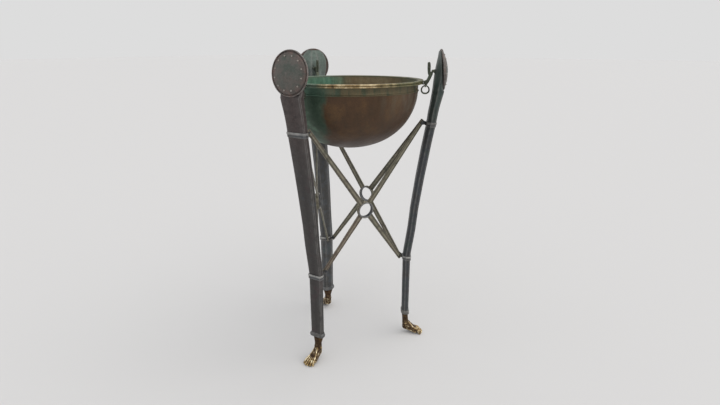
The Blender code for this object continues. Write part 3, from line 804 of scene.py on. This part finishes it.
def sliding_collar_mesh():
    """A loose band on the straight lower leg, with a bead along its top and two lugs."""
    bm = bmesh.new()
    # The last column lightens the bead along the top most, partly for rubbing and partly as painted
    # highlight.
    rows = [
        (0.2458, 0.0010, 0.0010, 0.3), (0.2466, 0.0020, 0.0017, 0.6),
        (0.2490, 0.0022, 0.0018, 0.2), (0.2530, 0.0021, 0.0017, 0.1),
        (0.2542, 0.0025, 0.0020, 0.8), (0.2560, 0.0029, 0.0024, 1.3),
        (0.2584, 0.0029, 0.0024, 1.4), (0.2598, 0.0023, 0.0019, 1.2),
        (0.2603, 0.0011, 0.0011, 0.6),
    ]
    add_sleeve(bm, rows, 0.0006)
    for mesh in lug_meshes(LOWER_PIVOT, (0.2480, 0.2590), LOWER_REACH, 1, LAYER_GAP, -0.0052):
        absorb(bm, mesh)
    return finished(bm, "sliding_collar", 45.0)


def ankle_band_mesh():
    """A swollen band over the joint of leg and foot."""
    bm = bmesh.new()
    rows = []
    for step in range(13):
        turn = pi * step / 12
        bulge = sin(turn) ** 0.6
        growth = (0.0005 + 0.0021 * bulge, 0.0006 + 0.0038 * bulge)
        rows.append((0.0510 + 0.0150 * step / 12, *growth, 0.12 + 0.34 * bulge))
    add_sleeve(bm, rows, 0.0003)
    return finished(bm, "ankle_band", 60.0)


def strut_mesh(letter_pair, number):
    """A ridged bar with a wide ring where the pair crosses, in its place."""
    upper_1, upper_2, lower_1, lower_2, centre, normal = strut_points(letter_pair)
    upper, lower, layer = (upper_1, lower_2, 1) if number == 1 else (upper_2, lower_1, -1)
    along = (lower - upper).normalized()
    lift = layer * (LAYER_GAP + STRUT_THICKNESS / 2)
    matrix = frame_at(upper + normal * lift, along, normal)
    arm, length = (centre - upper).length, (lower - upper).length
    end_half, ring_half, past_end, half_thick = 0.0062, 0.0088, 0.0075, STRUT_THICKNESS / 2
    bm = bmesh.new()
    worn = [0.7, 0.7, 0.05, 1.0, 0.05, 0.7, 0.7, 0.05, 1.0, 0.05]
    for start, stop, half_start, half_stop in (
        (-past_end, arm - 0.0245, end_half, ring_half),
        (length + past_end, arm + 0.0245, end_half, ring_half),
    ):
        rings = []
        steps = 24
        for step in range(-1, steps + 1):
            share = max(step, 0) / steps
            u = start + (stop - start) * share
            half = half_start + (half_stop - half_start) * share
            squeeze = 1.0
            if step == -1:
                squeeze = 0.86
            elif step == 0:
                u += copysign(0.0006, stop - start)
            sway = noise.noise(Vector((u * 40, number * 3.1, centre.x * 9))) * 0.0002
            section = [(-half, -0.0014), (-half, 0.0014), (-0.62 * half, 0.0020)]
            section += [(0, half_thick), (0.62 * half, 0.0020)]
            section += [(-v, -w) for v, w in section]
            rings.append([matrix @ Vector((u, v * squeeze + sway, w * squeeze)) for v, w in section])
        add_rings(bm, rings, worn=worn)
    ring = [(0.0232, 0.0017, 0.2), (0.0238, 0.0024, 0.7), (0.0252, 0.0025, 0.5), (0.0260, 0.0016, 0.8)]
    add_lathe(bm, mirrored(ring), 72, matrix @ Matrix.Translation((arm, 0, 0)), closed=True)
    return finished(bm, "strut", 24.0)


def eyelet_mesh(pair):
    """A flanged tube through both rings of a crossed pair."""
    upper_1, _, _, lower_2, centre, normal = strut_points(pair)
    far = LAYER_GAP + STRUT_THICKNESS + 0.0002
    half = [(0.0211, far - 0.001, 0.1), (0.0212, far + 0.0006, 0.5), (0.0218, far + 0.0011, 0.9)]
    half += [(0.0230, far + 0.0012, 0.6), (0.0242, far + 0.0009, 0.9)]
    half += [(0.0248, far + 0.0002, 0.7), (0.0229, far, 0.0)]
    bm = bmesh.new()
    matrix = frame_at(centre, (lower_2 - upper_1).normalized(), normal)
    add_lathe(bm, mirrored(half), 96, matrix, closed=True)
    return finished(bm, "eyelet", 50.0)


def pin_tree(material):
    """A headed pin at each point of a mesh, turned to the point's own axis attribute."""
    tree, given = start_geometry("Headed pins", {"Pin radius": "Float", "Head radius": "Float"})
    inputs = {"Vertices": 20, "Radius": given["Pin radius"], "Depth": 1.0}
    shank = first_output(tree, "GeometryNodeMeshCylinder", inputs)
    axis, length = attribute(tree, "axis", "FLOAT_VECTOR"), attribute(tree, "length")
    turn = first_output(tree, "FunctionNodeAlignRotationToVector", {"Vector": axis}, axis="Z")
    stretch = first_output(tree, "ShaderNodeCombineXYZ", {"X": 1.0, "Y": 1.0, "Z": length})
    inputs = {"Points": given["Geometry"], "Instance": shank, "Rotation": turn, "Scale": stretch}
    pieces = [first_output(tree, "GeometryNodeInstanceOnPoints", inputs)]
    inputs = {"Segments": 24, "Rings": 14, "Radius": given["Head radius"]}
    head = first_output(tree, "GeometryNodeMeshUVSphere", inputs)
    flat = first_output(tree, "GeometryNodeTransform", {"Geometry": head, "Scale": (1.0, 1.0, 0.42)})
    for name in ("head_1", "head_2"):
        inputs = {"Geometry": given["Geometry"], "Offset": attribute(tree, name, "FLOAT_VECTOR")}
        inputs = {"Points": first_output(tree, "GeometryNodeSetPosition", inputs), "Instance": flat}
        inputs["Rotation"] = turn
        pieces.append(first_output(tree, "GeometryNodeInstanceOnPoints", inputs))
    both = add_node(tree, "GeometryNodeJoinGeometry")
    for piece in pieces:
        tree.links.new(piece, both.inputs[0])
    return end_geometry(tree, both.outputs[0], material)


def pin_points(name, pins):
    """A mesh of one point for each pin, from (origin, axis, low, high, heads at both ends)."""
    mesh = bpy.data.meshes.new(name)
    mesh.from_pydata([origin + axis * ((low + high) / 2) for origin, axis, low, high, _ in pins], [], [])
    for key in ("axis", "length", "head_1", "head_2"):
        mesh.attributes.new(key, "FLOAT" if key == "length" else "FLOAT_VECTOR", "POINT")
    data = mesh.attributes
    for index, (_, axis, low, high, both) in enumerate(pins):
        half = axis * ((high - low) / 2)
        data["axis"].data[index].vector = axis
        data["length"].data[index].value = high - low
        data["head_1"].data[index].vector = half
        data["head_2"].data[index].vector = -half if both else half
    return mesh


def drop_ring_mesh():
    """A wire ring in XZ whose top passes through the origin, a little out of true."""
    bm = bmesh.new()
    radius, wire = 0.0112, 0.0025
    rings = []
    for step in range(56):
        around = 2 * pi * step / 56
        reach = radius * (1 + 0.02 * cos(3 * around))
        outward = Vector((sin(around), 0, cos(around)))
        thick = wire * (1 - 0.26 * (0.5 + 0.5 * cos(around)))
        circle = []
        for k in range(16):
            turn = 2 * pi * k / 16
            offset = outward * cos(turn) + Vector((0, 1, 0)) * sin(turn)
            circle.append(outward * reach + Vector((0, 0, -radius)) + offset * thick)
        rings.append(circle)
    add_rings(bm, rings, closed=True, worn=[0.5 if k < 3 or k > 13 else 0.1 for k in range(16)])
    return finished(bm, "drop_ring", 60.0)


def hook_mesh():
    """An eye on the hinge, a flat shank, a toe under the lip, a lower eye for the ring and a leaf finial."""
    bm = bmesh.new()
    hx, hz = HOOK_HINGE
    sideways = Matrix.Translation((hx, 0, hz)) @ Matrix.Rotation(pi / 2, 4, "X")
    eye = [(0.0019, 0.0030, 0.2), (0.0024, 0.0034, 0.5), (0.0036, 0.0034, 0.5), (0.0042, 0.0028, 0.8)]
    add_lathe(bm, mirrored(eye), 40, sideways, closed=True)
    shank = [
        (0.2418, 0.8350, 0.0074, 0.0066), (0.2396, 0.8300, 0.0092, 0.0100),
        (0.2364, 0.8220, 0.0104, 0.0096), (0.2321, 0.8130, 0.0106, 0.0096),
        (0.2282, 0.8060, 0.0106, 0.0096), (0.2256, 0.8010, 0.0100, 0.0080),
        (0.2244, 0.7982, 0.0086, 0.0066),
    ]
    add_sweep(bm, shank, sides=20, squareness=4.0)
    x, z = RING_HOLE
    lower_eye = [(0.0024, 0.0016, 0.2), (0.0029, 0.0020, 0.6), (0.0041, 0.0019, 0.6), (0.0046, 0.0012, 0.8)]
    outward = Matrix.Translation((x, 0, z)) @ Matrix.Rotation(pi / 2, 4, "Y")
    add_lathe(bm, mirrored(lower_eye), 36, outward, closed=True)
    toe = [
        (0.2278, 0.8012, 0.0090, 0.0030), (0.2240, 0.8007, 0.0092, 0.0032),
        (0.2190, 0.8005, 0.0090, 0.0030), (0.2130, 0.8006, 0.0080, 0.0024),
        (0.2110, 0.8007, 0.0050, 0.0018),
    ]
    add_sweep(bm, toe, sides=16, squareness=4.0)
    web = [(0.2188, 0.8046, 0.0078, 0.0070), (0.2222, 0.8054, 0.0094, 0.0110)]
    web += [(0.2268, 0.8062, 0.0098, 0.0120)]
    add_sweep(bm, web, sides=20, squareness=3.0)
    leaf = [
        (0.2378, 0.8225, 0.0076, 0.0060), (0.2352, 0.8270, 0.0080, 0.0076),
        (0.2336, 0.8330, 0.0082, 0.0082), (0.2332, 0.8400, 0.0088, 0.0090),
        (0.2330, 0.8470, 0.0092, 0.0094), (0.2329, 0.8540, 0.0090, 0.0092),
        (0.2324, 0.8590, 0.0084, 0.0084), (0.2320, 0.8618, 0.0072, 0.0070),
        (0.2318, 0.8626, 0.0050, 0.0044),
    ]
    add_sweep(bm, leaf, sides=20, squareness=2.6)
    return finished(bm, "hook", 45.0)


def staple_mesh():
    """Two cheeks against the leg and the cross pin between them."""
    bm = bmesh.new()
    hx, hz = HOOK_HINGE
    arc = [radians(70 + 220 * step / 12) for step in range(13)]
    cheek = [(0.0036 * cos(a), 0.0036 * sin(a)) for a in arc]
    cheek += [(0.0052, -0.0072), (0.0065, 0.0048)]
    for side in (1, -1):
        matrix = Matrix.Translation((hx, side * 0.0072, hz)) @ Matrix.Rotation(pi / 2, 4, "X")
        mesh = slab(cheek, [], 0.0026, 0.0006, matrix)
        absorb(bm, mesh)
    pin = [(0.0, -0.0104, 0.8), (0.0013, -0.0102, 0.8), (0.0023, -0.0092, 0.6)]
    pin += [(0.0023, -0.0086, 0.3), (0.0015, -0.0084, 0.1)]
    add_lathe(bm, mirrored(pin), 24, Matrix.Translation((hx, 0, hz)) @ Matrix.Rotation(pi / 2, 4, "X"))
    return finished(bm, "staple", 45.0)


def basin_mesh(dent):
    """Turned at true height. The attribute for rubbing and painted light is 1 on the lip's two beads and -1
    inside.
    """

    def wall(radius, depth, low, high, steps, wear):
        points = []
        for step in range(steps + 1):
            turn = step / steps
            radial = low + (high - low) * sin(turn * pi / 2) ** 0.9
            drop = (1 - min(radial / radius, 1.0) ** 2.15) ** (1 / 2.15)
            points.append((radial, BASIN_CENTRE_Z - depth * drop, wear))
        return points

    floor = BASIN_CENTRE_Z - BASIN_DEPTH
    outside = [(0.0, floor, 0.0), (0.022, floor, 0.0)]
    outside += wall(0.2040, BASIN_DEPTH, 0.040, 0.2008, 56, 0.0)
    outside += [
        (0.2031, 0.7816, 0.1), (0.2042, 0.7820, 0.6),
        (0.2050, 0.7827, 0.9), (0.2052, 0.7835, 0.9),
        (0.2048, 0.7844, 0.7), (0.2036, 0.7851, 0.2),
        (0.2028, 0.7858, 0.0), (0.2026, 0.7930, 0.0),
        (0.2028, 0.8006, 0.0), (0.2036, 0.8020, 0.0),
        (0.2060, 0.8030, 0.2), (0.2120, 0.8033, 0.3),
    ]
    for low, high in ((0.8034, 0.8078), (0.8086, LIP_TOP)):
        middle, half = (low + high) / 2, (high - low) / 2
        for step in range(9):
            turn = -pi / 2 + pi * step / 8
            outside.append((LIP_RADIUS - 0.0026 + 0.0026 * cos(turn), middle + half * sin(turn), 1.0))
        outside.append((LIP_RADIUS - 0.0032, high + 0.0003 if high < LIP_TOP else high, 0.1))
    outside += [(0.2100, LIP_TOP - 0.0002, 0.9), (0.2040, LIP_TOP - 0.0004, 0.7)]
    outside += [(0.2008, 0.8120, 0.3), (0.1998, 0.8090, -0.6)]
    bottom = floor + BASIN_WALL
    inner = wall(0.2010, BASIN_DEPTH - BASIN_WALL, 0.040, 0.2000, 56, -1.0)
    inside = [(radius, max(height, bottom), wear) for radius, height, wear in reversed(inner)]
    inside += [(0.022, bottom, -1.0), (0.0, bottom, -1.0)]
    bm = bmesh.new()
    add_lathe(bm, outside + inside, 192)
    for vert in bm.verts:
        radial = Vector((vert.co.x, vert.co.y, 0))
        if vert.co.z < 0.780 and radial.length > 0.02:
            depth = noise.noise(vert.co * 28) * 0.7 + noise.noise(vert.co * 75) * 0.3
            vert.co += radial.normalized() * (depth - 0.5) * dent
    bm.verts.ensure_lookup_table()
    bm.transform(Matrix.Translation((0, AXIS_Y, ARCH)))
    return finished(bm, "basin", 50.0)


def foot_mesh():
    """A bare foot grown from rounded lumps, with long toes and the tendons that run up from them."""
    ball = bmesh.new()
    bmesh.ops.create_uvsphere(ball, u_segments=18, v_segments=12, radius=1.0)
    ball_points = [vert.co.copy() for vert in ball.verts]
    ball_faces = [[vert.index for vert in face.verts] for face in ball.faces]
    ball.free()
    points, faces = [], []

    def lump(x, y, z, rx, ry, rz):
        faces.extend([len(points) + index for index in face] for face in ball_faces)
        points.extend((x + rx * p.x, y + ry * p.y, z + rz * p.z) for p in ball_points)

    def limb(start, end, steps=9):
        """Lumps along a line from (x, y, z, rx, ry, rz) to another."""
        for step in range(steps + 1):
            share = step / steps
            lump(*[a + share * (b - a) for a, b in zip(start, end)])

    limb((0.1826, 0, 0.0455, 0.0100, 0.0164, 0.0056), (0.1842, 0, 0.0300, 0.0100, 0.0114, 0.0070))
    limb((0.1842, 0, 0.0300, 0.0100, 0.0114, 0.0070), (0.1862, 0, 0.0060, 0.0112, 0.0124, 0.0085))
    limb((0.1862, 0, 0.0060, 0.0112, 0.0124, 0.0085), (0.1850, 0, -0.0030, 0.0100, 0.0122, 0.0090))
    limb((0.1900, 0, 0.0080, 0.0100, 0.0108, 0.0090), (0.2130, 0, -0.0110, 0.0105, 0.0156, 0.0080))
    limb((0.1880, 0, -0.0050, 0.0095, 0.0120, 0.0070), (0.2180, 0, -0.0172, 0.0100, 0.0166, 0.0078))
    # The ankle bones stand out a little on each side.
    for side in (1, -1):
        lump(0.1858, side * 0.0104, 0.0130, 0.0046, 0.0036, 0.0052)
    # For each toe: how far it stands to the side, how far its tip reaches, and its thickness.
    toes = (
        (-0.0148, 0.2372, 0.0050), (-0.0076, 0.2418, 0.0041),
        (0.0000, 0.2425, 0.0041), (0.0072, 0.2410, 0.0039),
        (0.0140, 0.2368, 0.0041),
    )
    for side, tip, thick in toes:
        root = (0.2110, side * 0.66, -0.0040, thick * 0.85, thick * 0.60, thick * 0.75)
        knuckle = (0.2285, side * 0.98, -0.0135, thick, thick * 0.82, thick)
        end = (tip - thick * 0.7, side * 1.06, -0.0205, thick * 0.98, thick * 0.86, thick * 0.95)
        limb(root, knuckle, 10)
        limb(knuckle, end, 8)
        limb((0.1955, side * 0.34, 0.0145, 0.0027, 0.0017, 0.0026), root, 9)
    rough = bpy.data.meshes.new("foot")
    rough.from_pydata(points, [], faces)
    host = linked("foot", rough)
    remesh = host.modifiers.new("skin", "REMESH")
    remesh.mode, remesh.voxel_size = "VOXEL", 0.0007
    relax = host.modifiers.new("relax", "SMOOTH")
    relax.factor, relax.iterations = 0.6, 3
    bm = bmesh.new()
    absorb(bm, baked(host))
    layer = rubbing_and_light_layer(bm)
    for vert in bm.verts:
        vert.co.z = min(max(vert.co.z, -ARCH), 0.0507)
    bm.normal_update()
    raw = {}
    for vert in bm.verts:
        around = [edge.other_vert(vert).co for edge in vert.link_edges]
        middle = sum(around, Vector()) / len(around)
        raw[vert.index] = (vert.co - middle).dot(vert.normal)
    for _ in range(4):
        raw = {
            vert.index: 0.4 * raw[vert.index]
            + 0.6 * sum(raw[edge.other_vert(vert).index] for edge in vert.link_edges) / len(vert.link_edges)
            for vert in bm.verts
        }
    for vert in bm.verts:
        vert[layer] = min(max(0.42 + raw[vert.index] * 9000, 0.0), 1.0)
    return finished(bm, "foot", 70.0)


# ---------------------------------------------------------------- operators


def shared():
    """Materials made once and kept by name."""
    return {m.name: m for m in bpy.data.materials}


class BRAZIER_OT_materials(bpy.types.Operator):
    """Makes the bronze finishes that the other operators use"""

    bl_idname = "brazier.materials"
    bl_label = "Make finishes"

    def execute(self, context):
        c = context.scene.brazier_colours
        dark, blue, plum, green = (tuple(v) for v in (c.dark, c.blue, c.plum, c.green))
        rub_and_highlight = tuple(c.rub_and_highlight)
        cool, red = ["53575d", "504f4d", "595d62", "4f5b56"], ["4c403b", "64534b", "544c45"]
        # Name, tints, pale colour for dust specks, rubbing and painted edge highlight, its strength,
        # metallic, shift, gloss, and the tint of the upper part.
        finishes = (
            ("patina_a", [plum, dark, dark, blue], rub_and_highlight, 0.40, 0.45, 0.0, 0.5, (0.58, 0.74, "564a48")),
            ("patina_b", [green, blue, dark, plum], rub_and_highlight, 0.42, 0.45, 5.3, 0.5, (0.66, 0.80, "4b5a55")),
            ("patina_c", cool, rub_and_highlight, 0.42, 0.45, 9.1, 0.5, (0.78, 0.88, "7d8f86")),
            ("collar", [dark, blue, "55524f"], "a7a6a3", 0.62, 0.45, 4.0, 0.42, None),
            ("strut", ["46423d", "5c554c", "505248"], "a8a28c", 0.62, 0.45, 6.0, 0.5, None),
            ("strut_red", red, "a8a28c", 0.62, 0.45, 7.0, 0.5, (0.42, 0.52, "5c5b4e")),
            ("hook", ["3a3e33", "54584a", "5c6453"], "9a9c8a", 0.55, 0.45, 8.0, 0.40, None),
            # The pearls' light greys are partly bronze bared by rubbing and partly painted highlight.
            ("pearl", ["8d8a86", "b3b0ab", "a49a92"], "d0cdc8", 0.3, 0.5, 1.0, 0.34, None),
        )
        made_by = {"strut": "forged", "strut_red": "forged", "hook": "forged", "pearl": "polished"}
        for kind, *rest in finishes:
            way = made_by.get(kind, "cast")
            cast_bronze(f"{way}_bronze_{kind}", *rest)
        roundel_bronze("cast_bronze_roundel", c)
        beaten_bronze("beaten_bronze_basin", c)
        gilded_bronze("rubbed_gilt_bronze_foot", tuple(c.gold))
        return {"FINISHED"}


class BRAZIER_OT_legs(bpy.types.Operator):
    """Builds the three faceted legs with their bands and feet"""

    bl_idname = "brazier.legs"
    bl_label = "Build legs"

    def execute(self, context):
        sizes, finish = context.scene.brazier_sizes, shared()
        leg, foot, ankle = leg_mesh(sizes.casting_drift), foot_mesh(), ankle_band_mesh()
        upper, lower = upper_collar_mesh(), sliding_collar_mesh()
        for letter in TURN:
            body, matrix = "leg_" + letter, leg_frame(letter)
            skin = finish["cast_bronze_patina_" + letter]
            collar, gilt = finish["cast_bronze_collar"], finish["rubbed_gilt_bronze_foot"]
            for kind, mesh, rides, paint in (
                ("leg", leg, body, skin),
                ("foot", foot, body, gilt),
                ("ankle_band", ankle, body, collar),
                ("upper_collar", upper, body, collar),
                ("sliding_collar", lower, "sliding_collar_" + letter, collar),
            ):
                place_turned(kind, letter, mesh, matrix, paint, rides)
        return {"FINISHED"}


class BRAZIER_OT_roundels(bpy.types.Operator):
    """Builds the domed roundels and strings their pearls"""

    bl_idname = "brazier.roundels"
    bl_label = "Build roundels"

    def execute(self, context):
        sizes, finish = context.scene.brazier_sizes, shared()
        disc = roundel_mesh()
        tree = pearl_tree(finish["polished_bronze_pearl"])
        values = {
            "Pearls": sizes.pearl_count,
            "Circle radius": sizes.pearl_circle,
            "Pearl radius": sizes.pearl_radius,
            "Level": roundel_level(sizes.pearl_circle) - 0.0002,
        }
        half_step = Matrix.Rotation(pi / sizes.pearl_count, 4, "Z")
        for letter in TURN:
            matrix, body = roundel_frame(letter), "leg_" + letter
            skin = finish["cast_bronze_roundel"]
            place_turned("roundel", letter, disc, matrix, skin, body)
            pearls = node_mesh("pearls_" + letter, tree, values)
            pearls.transform(matrix @ half_step)
            place("pearls_piece_" + letter, pearls, finish["polished_bronze_pearl"], body, [])
        return {"FINISHED"}


class BRAZIER_OT_struts(bpy.types.Operator):
    """Builds the crossed struts, the eyelets at their crossings and the pins at their ends"""

    bl_idname = "brazier.struts"
    bl_label = "Build struts"

    def execute(self, context):
        finish = shared()
        collar = finish["cast_bronze_collar"]
        pins = {}
        for pair in PAIRS:
            name = "".join(pair)
            upper_1, upper_2, lower_1, lower_2, _, normal = strut_points(pair)
            holder = "strut_ca_2" if name == "ca" else f"strut_{name}_1"
            eyelet = "eyelet_" + name
            place(f"eyelet_piece_{name}", eyelet_mesh(pair), collar, holder, [eyelet])
            for number, upper, lower, side in ((1, upper_1, lower_2, 1), (2, upper_2, lower_1, -1)):
                body = f"strut_{name}_{number}"
                red = (name, number) == ("ab", 2)
                skin = finish["forged_bronze_strut_red" if red else "forged_bronze_strut"]
                place(f"strut_piece_{name}_{number}", strut_mesh(pair, number), skin, body, [body])
                far, near = LAYER_GAP + STRUT_THICKNESS + 0.0002, -(UPPER_EAR_GAP + EAR_THICKNESS + 0.0002)
                loose = body == "strut_bc_2"
                top_body = body if loose else "leg_" + pair[number - 1]
                low = LAYER_GAP if loose else near
                axis = normal * side
                pins.setdefault(("upper", top_body), []).append(
                    (f"upper_pin_{name}_{number}", (upper, axis, low, far, not loose))
                )
                pins.setdefault(("lower", body), []).append(
                    (f"lower_pin_{name}_{number}", (lower, axis, LAYER_GAP, far, False))
                )
        tree = pin_tree(collar)
        for (level, body), members in pins.items():
            points = pin_points("pins", [data for _, data in members])
            mesh = node_mesh("pins", tree, {"Pin radius": PIN_RADIUS, "Head radius": PIN_HEAD}, points)
            nodes = [node for node, _ in members]
            place(f"{level}_pins_{body}", mesh, collar, body, nodes)
        return {"FINISHED"}


class BRAZIER_OT_hooks(bpy.types.Operator):
    """Builds the staples, the hooks that carry the basin and their drop rings"""

    bl_idname = "brazier.hooks"
    bl_label = "Build hooks"

    def execute(self, context):
        finish = shared()
        skin = finish["forged_bronze_hook"]
        staple, hook, ring = staple_mesh(), hook_mesh(), drop_ring_mesh()
        hung = Matrix.Translation((RING_HOLE[0], 0, RING_HOLE[1]))
        for letter in TURN:
            matrix = leg_frame(letter)
            for kind, mesh, place_at, body in (
                ("staple", staple, matrix, "leg_" + letter),
                ("hook", hook, matrix, "hook_" + letter),
                ("drop_ring", ring, matrix @ hung, "drop_ring_" + letter),
            ):
                place_turned(kind, letter, mesh, place_at, skin, body)
        return {"FINISHED"}


class BRAZIER_OT_basin(bpy.types.Operator):
    """Raises the basin with its lip and sunk band"""

    bl_idname = "brazier.basin"
    bl_label = "Build basin"

    def execute(self, context):
        mesh = basin_mesh(context.scene.brazier_sizes.dent_depth)
        place("basin_piece", mesh, shared()["beaten_bronze_basin"], "basin", ["basin"])
        return {"FINISHED"}


class BRAZIER_OT_stage(bpy.types.Operator):
    """Lays the floor, hangs the lights and sets the camera"""

    bl_idname = "brazier.stage"
    bl_label = "Set stage"

    def execute(self, context):
        scene = context.scene
        floor_mesh = bpy.data.meshes.new("floor")
        corners = [(-40, -40, 0), (40, -40, 0), (40, 40, 0), (-40, 40, 0)]
        floor_mesh.from_pydata(corners, [], [(0, 1, 2, 3)])
        floor = linked("floor", floor_mesh)
        paint = bpy.data.materials.new("matt_paint_floor")
        paint.use_nodes = True
        shader = paint.node_tree.nodes["Principled BSDF"]
        shader.inputs["Base Color"].default_value = linear("cececf")
        shader.inputs["Roughness"].default_value = 0.95
        shader.inputs["Specular IOR Level"].default_value = 0.1
        floor_mesh.materials.append(paint)
        # Wide suns light the floor evenly: name, bearing, height and width in degrees, strength, colour.
        suns = (
            ("key", 5.0, 52.0, 75.0, 1.25, "fffaf2"),
            ("fill", -110.0, 35.0, 80.0, 0.25, "f2f5ff"),
            ("rim", 70.0, 45.0, 70.0, 0.4, "ffffff"),
        )
        for name, bearing, height, width, strength, tint in suns:
            data = bpy.data.lights.new(name, "SUN")
            data.energy, data.angle, data.color = strength, radians(width), linear(tint)[:3]
            lamp = linked(name, data)
            lamp.rotation_euler = (radians(90.0 - height), 0.0, radians(90.0 + bearing))
        world = bpy.data.worlds.new("soft_studio")
        world.use_nodes = True
        backdrop = world.node_tree.nodes["Background"]
        backdrop.inputs["Color"].default_value = linear("dddddd")
        backdrop.inputs["Strength"].default_value = 1.0
        scene.world = world
        scene.view_settings.view_transform = "Standard"
        data = bpy.data.cameras.new("camera")
        data.lens, data.sensor_width = 25.51, 36.0
        data.clip_start, data.clip_end = 0.05, 100.0
        camera = linked("camera", data)
        axis = Vector((0.0, AXIS_Y, ARCH))
        camera.location = axis + Vector((0.8444, -1.2914, 0.9082))
        azimuth, pitch = radians(32.0), radians(17.09)
        forward = Vector((-sin(azimuth) * cos(pitch), cos(azimuth) * cos(pitch), -sin(pitch)))
        camera.rotation_euler = forward.to_track_quat("-Z", "Y").to_euler()
        scene.camera = camera
        return {"FINISHED"}


class BRAZIER_PT_panel(bpy.types.Panel):
    """Lists the brazier's sizes, colours and operators"""

    bl_label = "Brazier"
    bl_idname = "BRAZIER_PT_panel"
    bl_space_type = "VIEW_3D"
    bl_region_type = "UI"
    bl_category = "Brazier"

    def draw(self, context):
        for group in (context.scene.brazier_sizes, context.scene.brazier_colours):
            for key in group.__annotations__:
                self.layout.prop(group, key)
        for operator in OPERATORS:
            self.layout.operator(operator.bl_idname)


OPERATORS = (
    BRAZIER_OT_stage,
    BRAZIER_OT_materials,
    BRAZIER_OT_legs,
    BRAZIER_OT_roundels,
    BRAZIER_OT_struts,
    BRAZIER_OT_hooks,
    BRAZIER_OT_basin,
)
CLASSES = (BRAZIER_PG_sizes, BRAZIER_PG_colours, *OPERATORS, BRAZIER_PT_panel)


def register():
    for item in CLASSES:
        bpy.utils.register_class(item)
    bpy.types.Scene.brazier_sizes = PointerProperty(type=BRAZIER_PG_sizes)
    bpy.types.Scene.brazier_colours = PointerProperty(type=BRAZIER_PG_colours)


def unregister():
    del bpy.types.Scene.brazier_colours
    del bpy.types.Scene.brazier_sizes
    for item in reversed(CLASSES):
        bpy.utils.unregister_class(item)


def main():
    register()
    bpy.ops.brazier.stage()
    bpy.ops.brazier.materials()
    bpy.ops.brazier.legs()
    bpy.ops.brazier.roundels()
    bpy.ops.brazier.struts()
    bpy.ops.brazier.hooks()
    bpy.ops.brazier.basin()


if __name__ == "__main__":
    main()
